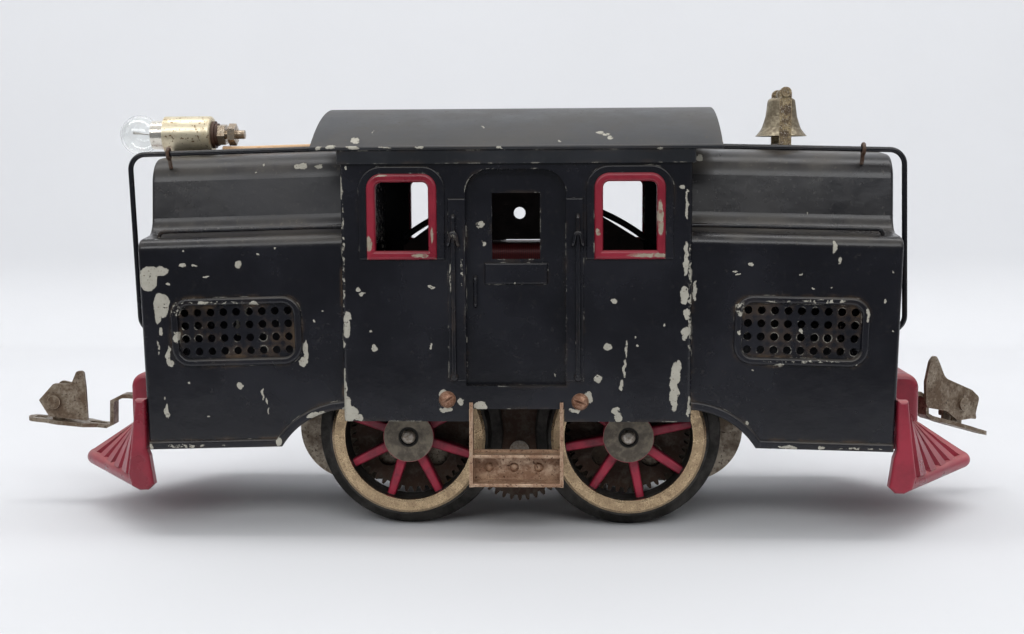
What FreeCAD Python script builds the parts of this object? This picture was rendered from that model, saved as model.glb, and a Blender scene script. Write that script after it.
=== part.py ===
import FreeCAD, Part
import math
import os
import re

import Sketcher

# Model electric locomotive, centre cab and two hoods, 0-4-0, for 54 mm gauge track.
# Millimetres.  +X runs along the locomotive (bell end), -Y is the near side, +Z is up.
# The origin is on the track plane, midway between the two axles.

os.makedirs("parts", exist_ok=True)
doc = FreeCAD.newDocument("locomotive")
sheet = doc.addObject("Spreadsheet::Sheet", "Sizes")
V = FreeCAD.Vector

SIZES = [
    ("sheet_t", 0.9, "body sheet thickness"),
    ("cab_half_len", 50.8, "cab, half length"),
    ("cab_half_width", 44.0, "cab, half width"),
    ("cab_bottom", 34.9, "cab lower edge"),
    ("cab_top", 110.0, "top of the cab side, under the roof band"),
    ("sill_bottom", 38.6, "lower edge under the door"),
    ("door_half", 14.6, "door recess, half width"),
    ("door_depth", 3.0, "door recess depth"),
    ("door_bottom", 45.4, "door recess floor"),
    ("door_top", 108.4, "door recess crown"),
    ("door_light_half", 7.0, "door window half width"),
    ("door_light_bottom", 82.3, "door window lower edge"),
    ("door_light_top", 101.5, "door window upper edge"),
    ("window_x", 32.9, "cab side window centre"),
    ("window_half", 7.7, "cab side window, half clear width"),
    ("window_bottom", 84.9, "cab side window, clear lower edge"),
    ("window_top", 104.7, "cab side window, clear upper edge"),
    ("window_corner_r", 1.8, "cab side window, clear corner radius"),
    ("frame_w", 2.5, "window frame face width"),
    ("roof_half_len", 59.3, "roof, half length"),
    ("roof_half_width", 45.0, "roof, half width"),
    ("eave_z", 114.6, "roof eave height"),
    ("roof_rise", 13.0, "roof rise over the eave"),
    ("hood_end", 111.0, "outer face of the hood end"),
    ("hood_half_width", 42.0, "hood, half width at the skirt"),
    ("hood_shoulder", 89.6, "hood shoulder height at the cab"),
    ("hood_crown", 115.2, "hood crown height at the cab"),
    ("skirt_bottom", 27.4, "hood skirt lower edge at the cab"),
    ("hood_droop", 1.5, "outward droop of each hood, degrees"),
    ("droop_z", 70.0, "height of the droop centre"),
    ("arch_radius", 24.0, "wheel arch radius"),
    ("arch_z", 14.2, "wheel arch centre height"),
    ("bead_w", 2.5, "rolled bead width"),
    ("bead_out", 0.9, "rolled bead projection"),
    ("grille_x", 82.7, "grille centre"),
    ("grille_z", 62.1, "grille centre height at the cab"),
    ("grille_len", 38.8, "grille bead, outer length"),
    ("grille_high", 20.2, "grille bead, outer height"),
    ("hole_pitch", 3.84, "grille hole pitch"),
    ("hole_r", 1.18, "grille hole radius"),
    ("half_wheelbase", 33.1, "half wheelbase"),
    ("axle_z", 28.2, "axle height"),
    ("flange_r", 28.2, "wheel flange radius"),
    ("tread_r", 24.8, "wheel tread radius"),
    ("wheel_back", 24.0, "back of the wheel from the centre line"),
    ("wheel_face", 34.0, "face of the wheel from the centre line"),
    ("rim_outer", 23.4, "rim ring outer radius"),
    ("rim_inner", 19.2, "rim ring inner radius"),
    ("hub_r", 7.6, "wheel hub radius"),
    ("axle_r", 2.0, "axle radius"),
    ("run_gap", 0.05, "running clearance on radius"),
    ("gear_module", 0.8, "gear module"),
    ("axle_teeth", 46, "teeth on each axle gear"),
    ("idler_teeth", 38, "teeth on the idler gear"),
    ("pinion_teeth", 14, "teeth on the armature pinion"),
    ("gear_w", 3.0, "gear face width"),
    ("gear_y", 20.4, "inner face of the gears from the centre line"),
    ("plate_y", 18.5, "inner face of the motor side plates"),
    ("plate_t", 1.5, "motor side plate thickness"),
    ("lobe_x", 52.3, "motor side plate, end lobe centre"),
    ("lobe_z", 28.5, "motor side plate, end lobe height"),
    ("lobe_r", 16.2, "motor side plate, end lobe radius"),
    ("pilot_nose", 143.0, "pilot nose from the middle"),
    ("pilot_top", 31.5, "top of the pilot apron"),
    ("rail_r", 0.8, "handrail wire radius"),
    ("rail_y", 24.5, "top handrail from the centre line"),
    ("bell_x", 82.0, "bell centre"),
    ("bell_pivot_z", 131.4, "bell pin height"),
    ("lamp_z", 120.1, "lamp axis height"),
    ("step_half", 13.7, "step, half width"),
    ("hook_pivot_x", 115.4, "coupler pivot from the middle"),
    ("hook_pivot_z", 35.4, "coupler shank height at the pivot"),
]

for row, (alias, number, note) in enumerate(SIZES, start=1):
    sheet.set(f"A{row}", alias)
    sheet.set(f"B{row}", str(number))
    sheet.setAlias(f"B{row}", alias)
    sheet.set(f"C{row}", note)
doc.recompute()

ALIASES = {alias for alias, number, note in SIZES}


def expression(text):
    """Turn a formula in the sheet's names into a FreeCAD expression."""
    def full(match):
        word = match.group()
        return "Sizes." + word if word in ALIASES else word
    return re.sub(r"[a-z][a-z_]*", full, str(text))


def val(text):
    """The number a formula in the sheet's names comes to."""
    return float(sheet.evalExpression(expression(text)))


def bind(thing, prop, text):
    """Bind a property to a formula, or set it when the formula is a plain number."""
    if re.search("[a-z]", str(text)):
        thing.setExpression(prop, expression(text))
    else:
        setattr(thing, prop, float(text))


# ---------------------------------------------------------------- drawing helpers

PIECES = {}


def new_body(name):
    body = doc.addObject("PartDesign::Body", name)
    body.Label = name
    PIECES[name] = body
    return body


def group(name, members):
    """Put several like pieces, each a solid of its own, into one named node."""
    compound = doc.addObject("Part::Compound", name)
    compound.Label = name
    compound.Links = [PIECES.pop(member) for member in members]
    PIECES[name] = compound


def sketch_on(body, plane, name, offset=None):
    """An empty sketch on one of the body's own planes; offset is a formula along its normal."""
    sketch = body.newObject("Sketcher::SketchObject", name)
    for feature in body.Origin.OriginFeatures:
        if feature.Role == plane:
            sketch.AttachmentSupport = [(feature, "")]
    sketch.MapMode = "FlatFace"
    if offset is not None:
        sketch.AttachmentOffset = FreeCAD.Placement(V(0, 0, val(offset)), FreeCAD.Rotation())
        if re.search("[a-z]", str(offset)):
            sketch.setExpression("AttachmentOffset.Base.z", expression(offset))
    return sketch


def dimension(sketch, kind, args, text):
    index = sketch.addConstraint(Sketcher.Constraint(kind, *args, val(text)))
    if re.search("[a-z]", str(text)):
        sketch.setExpression(f"Constraints[{index}]", expression(text))


def arc_between(start, end, radius):
    """Arc from start to end; a positive radius turns anticlockwise, a negative one clockwise."""
    chord = end - start
    half = chord.Length / 2
    lift = math.sqrt(max(radius * radius - half * half, 0.0))
    side = V(-chord.y, chord.x, 0).normalize() * (lift if radius > 0 else -lift)
    centre = (start + end) * 0.5 + side
    a, b = start - centre, end - centre
    angles = [math.atan2(a.y, a.x), math.atan2(b.y, b.x)]
    if radius < 0:
        angles.reverse()
    circle = Part.Circle(centre, V(0, 0, 1), abs(radius))
    return Part.ArcOfCircle(circle, angles[0], angles[1])


def add_loop(sketch, points):
    """A closed outline: each point is (x, y) or (x, y, radius of the arc that reaches it)."""
    first = sketch.GeometryCount
    count = len(points)
    at = [V(val(p[0]), val(p[1]), 0) for p in points]
    ends = []
    for i in range(count):
        j = (i + 1) % count
        if len(points[j]) == 3:
            radius = val(points[j][2])
            sketch.addGeometry(arc_between(at[i], at[j], radius), False)
            ends.append((1, 2) if radius > 0 else (2, 1))
        else:
            sketch.addGeometry(Part.LineSegment(at[i], at[j]), False)
            ends.append((1, 2))
    for i in range(count):
        j = (i + 1) % count
        sketch.addConstraint(Sketcher.Constraint("Coincident", first + i, ends[i][1], first + j, ends[j][0]))
    for i, point in enumerate(points):
        dimension(sketch, "DistanceX", (-1, 1, first + i, ends[i][0]), point[0])
        dimension(sketch, "DistanceY", (-1, 1, first + i, ends[i][0]), point[1])
        if len(point) == 3:
            dimension(sketch, "Radius", (first + (i - 1) % count,), f"abs({point[2]})")
    return sketch


def add_circle(sketch, x, y, radius):
    index = sketch.addGeometry(Part.Circle(V(val(x), val(y), 0), V(0, 0, 1), val(radius)), False)
    dimension(sketch, "DistanceX", (-1, 1, index, 3), x)
    dimension(sketch, "DistanceY", (-1, 1, index, 3), y)
    dimension(sketch, "Radius", (index,), radius)
    return sketch


def box_loop(x0, y0, x1, y1):
    return [(x0, y0), (x1, y0), (x1, y1), (x0, y1)]


def pad(body, sketch, length, both=False, back=False):
    feature = body.newObject("PartDesign::Pad", sketch.Name + "_pad")
    feature.Profile = sketch
    bind(feature, "Length", length)
    feature.Midplane = both
    feature.Reversed = back
    return feature


def pocket(body, sketch, length=None, both=False, back=False):
    """Cut the sketch out of the body, through everything when no depth is given."""
    feature = body.newObject("PartDesign::Pocket", sketch.Name + "_cut")
    feature.Profile = sketch
    feature.Midplane = both
    feature.Reversed = back
    if length is None:
        feature.Type = "ThroughAll"
    else:
        bind(feature, "Length", length)
    return feature


def revolve(body, sketch, axis="V_Axis"):
    feature = body.newObject("PartDesign::Revolution", sketch.Name + "_turn")
    feature.Profile = sketch
    feature.ReferenceAxis = (sketch, [axis])
    feature.Angle = 360
    return feature


def fillet(body, radius, wanted, name):
    """Round every edge of the body for which wanted(edge) is true."""
    doc.recompute()
    tip = body.Tip
    names = [f"Edge{i}" for i, edge in enumerate(tip.Shape.Edges, start=1) if wanted(edge)]
    feature = body.newObject("PartDesign::Fillet", name)
    feature.Base = (tip, names)
    bind(feature, "Radius", radius)
    doc.recompute()
    return feature


def along(edge, axis):
    """True for a straight edge that runs along one axis (0, 1 or 2)."""
    if edge.Curve.TypeId != "Part::GeomLine" and "Line" not in edge.Curve.__class__.__name__:
        return False
    direction = edge.Vertexes[1].Point - edge.Vertexes[0].Point
    return abs(direction[axis]) > 0.999 * direction.Length


def near(edge, **place):
    """True when the middle of the edge is within 0.3 mm of the given coordinates."""
    middle = edge.BoundBox.Center
    return all(abs(getattr(middle, axis) - number) < 0.3 for axis, number in place.items())


def solid_feature(name, shape, placement=None):
    """A sub-part whose shape comes from Part functions."""
    feature = doc.addObject("Part::Feature", name)
    feature.Label = name
    feature.Shape = shape
    if placement is not None:
        feature.Placement = placement
    PIECES[name] = feature
    return feature


def turn(axis, angle):
    return FreeCAD.Rotation(axis, angle)


def half_turn(placement=None):
    """The same place on the other end and side: half a turn about the upright axis."""
    spin = FreeCAD.Placement(V(0, 0, 0), turn(V(0, 0, 1), 180))
    return spin if placement is None else spin.multiply(placement)


def droop():
    """Placement that lets a hood and what it carries sag outward from the cab joint."""
    rotation = turn(V(0, 1, 0), val("hood_droop"))
    centre = V(val("cab_half_len"), 0, val("droop_z"))
    return FreeCAD.Placement(centre - rotation.multVec(centre), rotation)


def crown_at(x):
    """Height of the sloping hood crown at a distance from the middle of the locomotive."""
    lean = math.radians(val("hood_droop"))
    rise = val("hood_crown - droop_z")
    return val("droop_z") + rise / math.cos(lean) - (x - val("cab_half_len")) * math.tan(lean)


def wire_path(points, radius):
    """A round wire through the given points, its corners bent to the given radius."""
    points = [V(*p[:3]) for p in points]
    edges = []
    start = points[0]
    for i in range(1, len(points) - 1):
        corner = points[i]
        before = (points[i - 1] - corner).normalize()
        after = (points[i + 1] - corner).normalize()
        half = before.getAngle(after) / 2
        if half > math.pi / 2 - 0.02:
            edges.append(Part.LineSegment(start, corner).toShape())
            start = corner
            continue
        reach = radius / math.tan(half)
        a, b = corner + before * reach, corner + after * reach
        middle = corner + (before + after).normalize() * (radius / math.sin(half) - radius)
        if (a - start).Length > 1e-6:
            edges.append(Part.LineSegment(start, a).toShape())
        edges.append(Part.Arc(a, middle, b).toShape())
        start = b
    edges.append(Part.LineSegment(start, points[-1]).toShape())
    return Part.Wire(edges)


def round_wire(points, bend, radius):
    path = wire_path(points, bend)
    direction = (V(*points[1][:3]) - V(*points[0][:3])).normalize()
    ring = Part.Wire([Part.Circle(V(*points[0][:3]), direction, radius).toShape()])
    return path.makePipeShell([ring], True, False, 2)


def slab(points, normal, thickness):
    """Flat plate: a closed list of 3-D corners pushed along a vector."""
    loop = [V(*p) for p in points]
    face = Part.Face(Part.makePolygon(loop + [loop[0]]))
    return face.extrude(V(*normal) * thickness)


def cylinder(radius, length, start, direction):
    return Part.makeCylinder(radius, length, V(*start), V(*direction))


# ---------------------------------------------------------------- cab

def make_cab():
    body = new_body("cab_shell")
    block = sketch_on(body, "XY_Plane", "cab_block", "cab_bottom")
    add_loop(block, box_loop("-cab_half_len", "-cab_half_width", "cab_half_len", "cab_half_width"))
    pad(body, block, "cab_top + 3 - cab_bottom")
    fillet(body, 1.6, lambda e: along(e, 2), "cab_corners")
    beads = sketch_on(body, "XZ_Plane", "window_beads")
    for side in (-1, 1):
        middle = f"{side} * window_x"
        half = "(window_half + frame_w + 2.3)"
        add_loop(beads, box_loop(f"{middle} - {half}", "window_bottom - frame_w",
                                 f"{middle} + {half}", "window_top + frame_w + 2.1"))
    pad(body, beads, "2 * (cab_half_width + 0.7)", both=True)
    strips = sketch_on(body, "XZ_Plane", "door_pilasters")
    for side in (-1, 1):
        x0, x1 = sorted([side * 14.4, side * 19.6])
        add_loop(strips, box_loop(x0, 46.8, x1, 100))
    pad(body, strips, "2 * (cab_half_width + 0.5)", both=True)
    doc.recompute()
    top = val("window_top + frame_w + 2.1")
    fillet(body, 6.6, lambda e: along(e, 1) and abs(e.CenterOfMass.z - top) < 0.1, "bead_corners")
    face = val("cab_half_width")
    fillet(body, 0.45, lambda e: abs(abs(e.CenterOfMass.y) - face - 0.5) < 0.02
           or abs(abs(e.CenterOfMass.y) - face - 0.7) < 0.02, "pressed_edges")
    recess = sketch_on(body, "XZ_Plane", "door_recess", "cab_half_width - door_depth")
    add_loop(recess, [("-door_half", "door_bottom"), ("door_half", "door_bottom"),
                      ("door_half", "door_top - 7"), ("door_half - 7", "door_top", 7),
                      ("-door_half + 7", "door_top"), ("-door_half", "door_top - 7", 7)])
    cut = pocket(body, recess, 6, back=True)
    mirror = body.newObject("PartDesign::Mirrored", "recess_far")
    mirror.Originals = [cut]
    mirror.MirrorPlane = (plane_of(body, "XZ_Plane"), [""])
    body.Tip = mirror
    rail = sketch_on(body, "XZ_Plane", "door_middle_rail")
    add_loop(rail, box_loop(-9.2, 75, 9.2, 81.2))
    pad(body, rail, "2 * (cab_half_width - door_depth + 0.7)", both=True)
    doc.recompute()
    out = val("cab_half_width - door_depth + 0.7")
    fillet(body, 0.5, lambda e: abs(abs(e.CenterOfMass.y) - out) < 0.02, "middle_rail_edges")
    notch = sketch_on(body, "XZ_Plane", "sill_notch")
    add_loop(notch, box_loop("-step_half - 0.25", 30, "step_half + 0.25", "sill_bottom"))
    pocket(body, notch, 100, both=True)
    hollow = sketch_on(body, "XY_Plane", "cab_hollow", "cab_bottom")
    wide, deep = "(cab_half_width - sheet_t)", "(cab_half_width - door_depth - sheet_t)"
    length, door = "(cab_half_len - sheet_t)", "(door_half + sheet_t)"
    add_loop(hollow, [
        (f"-{length}", f"-{wide}"), (f"-{door}", f"-{wide}"), (f"-{door}", f"-{deep}"),
        (door, f"-{deep}"), (door, f"-{wide}"), (length, f"-{wide}"),
        (length, wide), (door, wide), (door, deep),
        (f"-{door}", deep), (f"-{door}", wide), (f"-{length}", wide)])
    pocket(body, hollow, 90, back=True)
    under = sketch_on(body, "XY_Plane", "sill_hollow", "cab_bottom")
    add_loop(under, box_loop(f"-{door}", f"-{wide}", door, wide))
    pocket(body, under, "door_bottom - sheet_t - cab_bottom", back=True)
    over = sketch_on(body, "XY_Plane", "lintel_hollow", "cab_top + 4")
    add_loop(over, box_loop(f"-{door}", f"-{wide}", door, wide))
    pocket(body, over, "cab_top + 4 - door_top - sheet_t")
    lights = sketch_on(body, "XZ_Plane", "window_openings")
    for side in (-1, 1):
        add_loop(lights, window_loop(side, 0.8))
    add_loop(lights, box_loop("-door_light_half", "door_light_bottom", "door_light_half", "door_light_top"))
    pocket(body, lights, 120, both=True)
    seats = sketch_on(body, "XZ_Plane", "frame_seats", "cab_half_width")
    for side in (-1, 1):
        add_loop(seats, window_loop(side, "frame_w"))
    cut = pocket(body, seats, 5, back=True)
    mirror = body.newObject("PartDesign::Mirrored", "seats_far")
    mirror.Originals = [cut]
    mirror.MirrorPlane = (plane_of(body, "XZ_Plane"), [""])
    body.Tip = mirror
    ends = sketch_on(body, "YZ_Plane", "hood_openings")
    add_loop(ends, [(-38, 30), (38, 30), (38, 84), (-38, 84)])
    pocket(body, ends, 120, both=True)
    for row, name in ((1, "screw_holes_near"), (-1, "screw_holes_far")):
        screws = sketch_on(body, "XZ_Plane", name)
        for x, z in SCREW_PLACES:
            add_circle(screws, row * x, z, 1.25)
        pocket(body, screws, 60, back=row > 0)
    return body


SCREW_PLACES = [(-20.2, 41.4), (18.6, 40.8)]


def plane_of(body, role):
    for feature in body.Origin.OriginFeatures:
        if feature.Role == role:
            return feature


def window_loop(side, grow):
    """Cab window outline, square below and round above, grown all round by a margin."""
    x0, x1 = f"{side} * window_x - window_half - {grow}", f"{side} * window_x + window_half + {grow}"
    z0, z1 = f"window_bottom - {grow}", f"window_top + {grow}"
    r = f"(window_corner_r + {grow})"
    return [(x0, z0), (x1, z0), (x1, f"{z1} - {r}"), (f"{x1} - {r}", z1, r),
            (f"{x0} + {r}", z1), (x0, f"{z1} - {r}", r)]


def make_window_frame(name, side, far):
    body = new_body(name)
    ring = sketch_on(body, "XZ_Plane", name + "_ring", "cab_half_width - 1.3")
    add_loop(ring, window_loop(side, 0.75))
    pad(body, ring, 1.5)
    face = sketch_on(body, "XZ_Plane", name + "_face", "cab_half_width")
    add_loop(face, window_loop(side, "frame_w"))
    pad(body, face, 1.3)
    hole = sketch_on(body, "XZ_Plane", name + "_light")
    add_loop(hole, window_loop(side, 0))
    pocket(body, hole, 120, both=True)
    front = -val("cab_half_width") - 1.3
    fillet(body, 0.9, lambda e: abs(e.CenterOfMass.y - front) < 0.02, name + "_roll")
    if far:
        body.Placement = FreeCAD.Placement(V(0, 0, 0), turn(V(0, 0, 1), 180))
    return body


# ---------------------------------------------------------------- roof

def roof_radius(drop):
    return f"((roof_half_width * roof_half_width + roof_rise * roof_rise) / (2 * roof_rise) - {drop})"


def roof_loop(drop, base):
    """Arched section on the end plane, lowered by drop, with its foot at base."""
    half = f"(roof_half_width - {drop})"
    foot = "eave_z"
    return [(f"-{half}", base), (half, base), (half, foot), (f"-{half}", foot, roof_radius(drop))]


def make_roof():
    body = new_body("roof")
    arch = sketch_on(body, "YZ_Plane", "roof_arch")
    add_loop(arch, roof_loop(0, "eave_z - 0.5"))
    pad(body, arch, "2 * roof_half_len", both=True)
    band = sketch_on(body, "XY_Plane", "roof_band", "cab_top")
    grow = 0.9
    add_loop(band, box_loop(f"-cab_half_len - {grow}", f"-cab_half_width - {grow}",
                            f"cab_half_len + {grow}", f"cab_half_width + {grow}"))
    pad(body, band, "eave_z - cab_top")
    fillet(body, 1.4, lambda e: along(e, 2) and e.Length > 3, "band_corners")
    lips = sketch_on(body, "XZ_Plane", "eave_lips")
    add_loop(lips, box_loop("-roof_half_len", "eave_z - 0.7", "roof_half_len", "eave_z + 0.5"))
    pad(body, lips, "2 * (roof_half_width + 0.7)", both=True)
    doc.recompute()
    lip = val("roof_half_width + 0.7")
    fillet(body, 0.55, lambda e: along(e, 0) and abs(abs(e.CenterOfMass.y) - lip) < 0.02, "lip_roll")
    inside = sketch_on(body, "YZ_Plane", "roof_inside")
    add_loop(inside, [("-cab_half_width - 0.03", "cab_top - 5"), ("cab_half_width + 0.03", "cab_top - 5"),
                      ("cab_half_width + 0.03", "eave_z - 0.3"),
                      ("-cab_half_width - 0.03", "eave_z - 0.3", roof_radius(0.9))])
    pocket(body, inside, "2 * cab_half_len + 0.06", both=True)
    for side, name in ((-1, "left"), (1, "right")):
        over = sketch_on(body, "YZ_Plane", "overhang_" + name, f"{side} * (cab_half_len + {grow})")
        add_loop(over, [("-cab_half_width + 0.05", "cab_top - 5"), ("cab_half_width - 0.05", "cab_top - 5"),
                        ("cab_half_width - 0.05", "eave_z - 0.3"),
                        ("-cab_half_width + 0.05", "eave_z - 0.3", roof_radius(0.9))])
        pocket(body, over, 20, back=side > 0)
    return body


# ---------------------------------------------------------------- hoods

def rounded(corners):
    """Outline with its corners rounded: each corner is (x, y, radius), radius 0 for a sharp one."""
    count = len(corners)
    at = [V(x, y, 0) for x, y, radius in corners]
    loop = []
    for i, (x, y, radius) in enumerate(corners):
        if radius == 0:
            loop.append((x, y))
            continue
        before = (at[i - 1] - at[i]).normalize()
        after = (at[(i + 1) % count] - at[i]).normalize()
        reach = radius / math.tan(before.getAngle(after) / 2)
        a, b = at[i] + before * reach, at[i] + after * reach
        turns_left = before.cross(after).z < 0
        loop.append((a.x, a.y))
        loop.append((b.x, b.y, radius if turns_left else -radius))
    return loop


def hood_profile(inset):
    """Ogee section of a hood, set in by the sheet thickness for the inner face."""
    side, shoulder, crown = val("hood_half_width"), val("hood_shoulder"), val("hood_crown")
    right = [(side - inset, 20, 0), (side - inset, shoulder - inset, 3.6 - inset),
             (27.4 - inset, shoulder + 1.7 - inset, 6 + inset), (23.2 - inset, crown - 1.8 - inset, 9 - inset)]
    left = [(-y, z, radius) for y, z, radius in reversed(right)]
    return rounded(right + [(0, crown - inset, 0)] + left)


def make_hood(name, placement):
    body = new_body(name)
    block = sketch_on(body, "YZ_Plane", name + "_profile", "cab_half_len - 4")
    add_loop(block, hood_profile(0))
    pad(body, block, "hood_end - cab_half_len + 4")
    fillet(body, 1.1, lambda e: abs(e.CenterOfMass.x - val("hood_end")) < 0.02, name + "_end_edge")
    skirt = sketch_on(body, "XZ_Plane", name + "_skirt_bead")
    add_loop(skirt, box_loop(66, "skirt_bottom", "hood_end - 0.6", "skirt_bottom + bead_w"))
    pad(body, skirt, "2 * (hood_half_width + bead_out)", both=True)
    arch = sketch_on(body, "XZ_Plane", name + "_arch_bead")
    add_loop(arch, [("cab_half_len - 0.5", "arch_z"), ("cab_half_len + arch_radius + bead_w", "arch_z"),
                    ("cab_half_len - 0.5", "arch_z + arch_radius + bead_w", "arch_radius + bead_w")])
    pad(body, arch, "2 * (hood_half_width + bead_out)", both=True)
    bead = sketch_on(body, "XZ_Plane", name + "_grille_bead")
    add_loop(bead, grille_loop(0))
    pad(body, bead, "2 * (hood_half_width + 1.1)", both=True)
    under = sketch_on(body, "XZ_Plane", name + "_under")
    add_loop(under, box_loop(40, 0, 120, "skirt_bottom"))
    pocket(body, under, 100, both=True)
    opening = sketch_on(body, "XZ_Plane", name + "_arch")
    add_circle(opening, "cab_half_len", "arch_z", "arch_radius")
    pocket(body, opening, 100, both=True)
    panel = sketch_on(body, "XZ_Plane", name + "_grille_panel", "hood_half_width - 0.35")
    add_loop(panel, grille_loop(2.2))
    cut = pocket(body, panel, 5, back=True)
    mirror = body.newObject("PartDesign::Mirrored", name + "_panel_far")
    mirror.Originals = [cut]
    mirror.MirrorPlane = (plane_of(body, "XZ_Plane"), [""])
    body.Tip = mirror
    face = val("hood_half_width")
    fillet(body, 0.8, lambda e: abs(abs(e.CenterOfMass.y) - face - 1.1) < 0.02, name + "_grille_roll")
    fillet(body, 0.75, lambda e: abs(abs(e.CenterOfMass.y) - face - 0.9) < 0.02 and e.Length > 4,
           name + "_bead_roll")
    hollow = sketch_on(body, "YZ_Plane", name + "_hollow", "cab_half_len - 5")
    add_loop(hollow, hood_profile(val("sheet_t")))
    pocket(body, hollow, "hood_end - cab_half_len + 5 - sheet_t", back=True)
    facing = 1 if name == "hood_right" else -1
    for role, plane in (("pierced", 0), ("blind", f"{-facing} * (hood_half_width - 0.65)")):
        holes = sketch_on(body, "XZ_Plane", f"{name}_{role}_grille", plane)
        for column in range(9):
            for line in range(4):
                add_circle(holes, f"grille_x + {column - 4} * hole_pitch",
                           f"grille_z + {line - 1.5} * hole_pitch", "hole_r")
        pocket(body, holes, 100, back=(facing > 0) == (role == "pierced"))
    if name == "hood_left":
        wire_hole = sketch_on(body, "XY_Plane", name + "_wire_hole", "hood_crown + 5")
        add_circle(wire_hole, 52.3, 3, 1.2)
        pocket(body, wire_hole, 12)
    joint = sketch_on(body, "XZ_Plane", name + "_cab_joint")
    lean = math.tan(math.radians(val("hood_droop")))
    edge = val("cab_half_len") + 0.03
    low, band, high = 10.0, val("cab_top") - 0.1, 125.0

    def joint_x(z, out):
        return edge + out - (z - val("droop_z")) * lean

    add_loop(joint, [(40, low), (joint_x(low, 0), low), (joint_x(band, 0), band), (joint_x(band, 0.95), band),
                     (joint_x(high, 0.95), high), (40, high)])
    pocket(body, joint, 120, both=True)
    body.Placement = placement
    return body


def grille_loop(inset):
    """Rounded oblong of the grille bead, set in by a margin."""
    x0, x1 = f"grille_x - grille_len / 2 + {inset}", f"grille_x + grille_len / 2 - {inset}"
    z0, z1 = f"grille_z - grille_high / 2 + {inset}", f"grille_z + grille_high / 2 - {inset}"
    r = 5.5 - inset
    return [(f"{x0} + {r}", z0, r), (f"{x1} - {r}", z0), (x1, f"{z0} + {r}", r), (x1, f"{z1} - {r}"),
            (f"{x1} - {r}", z1, r), (f"{x0} + {r}", z1), (x0, f"{z1} - {r}", r), (x0, f"{z0} + {r}")]


# ---------------------------------------------------------------- wheels and gears

def gear_shape(teeth, phase, bore, width):
    """Spur gear about the Y axis: straight-flanked teeth, one centred at the phase angle."""
    module = val("gear_module")
    pitch = module * teeth / 2
    tip, root = pitch + 0.9 * module, pitch - 1.15 * module
    step = 2 * math.pi / teeth
    half = step / 4 - 0.06 / pitch
    slope = math.tan(math.radians(20)) / pitch
    at_tip, at_root = half - 0.9 * module * slope * 1.15, half + 1.15 * module * slope * 0.7
    corners = []
    for k in range(teeth):
        middle = math.radians(phase) + k * step
        for radius, offset in ((root, -at_root), (pitch, -half), (tip, -at_tip),
                               (tip, at_tip), (pitch, half), (root, at_root)):
            angle = middle + offset
            corners.append(V(radius * math.cos(angle), 0, radius * math.sin(angle)))
    blank = Part.Face(Part.makePolygon(corners + corners[:1])).extrude(V(0, width, 0))
    return blank.cut(cylinder(bore, width + 2, (0, -1, 0), (0, 1, 0)))


def mesh_phase(teeth, other_teeth, other_phase, direction):
    """Phase that puts a gap of this gear on a tooth of the other one, seen along direction."""
    other_step, step = 360.0 / other_teeth, 360.0 / teeth
    return direction + 180 - step * (0.5 - (direction - other_phase) / other_step)


def idler_z():
    """The idler sits below the axle line, one centre distance from both axles."""
    centres = val("gear_module * (axle_teeth + idler_teeth) / 2")
    return val("axle_z") - math.sqrt(centres ** 2 - val("half_wheelbase") ** 2)


def armature_z():
    return idler_z() + val("gear_module * (idler_teeth + pinion_teeth) / 2")


def gear_place(x, z):
    return FreeCAD.Placement(V(x, -val("gear_y") - val("gear_w"), z), FreeCAD.Rotation())


def make_gears():
    width, gap = val("gear_w"), val("run_gap")
    idler_phase = 90.0
    lift = math.degrees(math.asin((val("axle_z") - idler_z())
                                  / val("gear_module * (axle_teeth + idler_teeth) / 2")))
    for side, name, direction in ((-1, "left", 180 - lift), (1, "right", lift)):
        phase = mesh_phase(46, 38, idler_phase, direction)
        disc = gear_shape(46, phase, val("axle_r"), width)
        for k in range(4):
            angle = math.radians(45 + 90 * k)
            middle = (10.4 * math.cos(angle), -1, 10.4 * math.sin(angle))
            disc = disc.cut(cylinder(3.6, width + 2, middle, (0, 1, 0)))
        solid_feature("axle_gear_" + name, disc, gear_place(side * val("half_wheelbase"), val("axle_z")))
    idler = gear_shape(38, idler_phase, 1.8 + gap, width)
    solid_feature("idler_gear", idler, gear_place(0, idler_z()))
    stud = cylinder(1.8, 5.6, (0, 0, 0), (0, 1, 0)).fuse(cylinder(3.0, 1.0, (0, -0.95, 0), (0, 1, 0)))
    solid_feature("idler_stud", stud.removeSplitter(),
                  FreeCAD.Placement(V(0, -val("gear_y") - width - 0.15, idler_z()), FreeCAD.Rotation()))
    phase = mesh_phase(14, 38, idler_phase, 90)
    pinion = gear_shape(14, phase, 1.6, width)
    solid_feature("pinion", pinion, gear_place(0, armature_z()))


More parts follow.
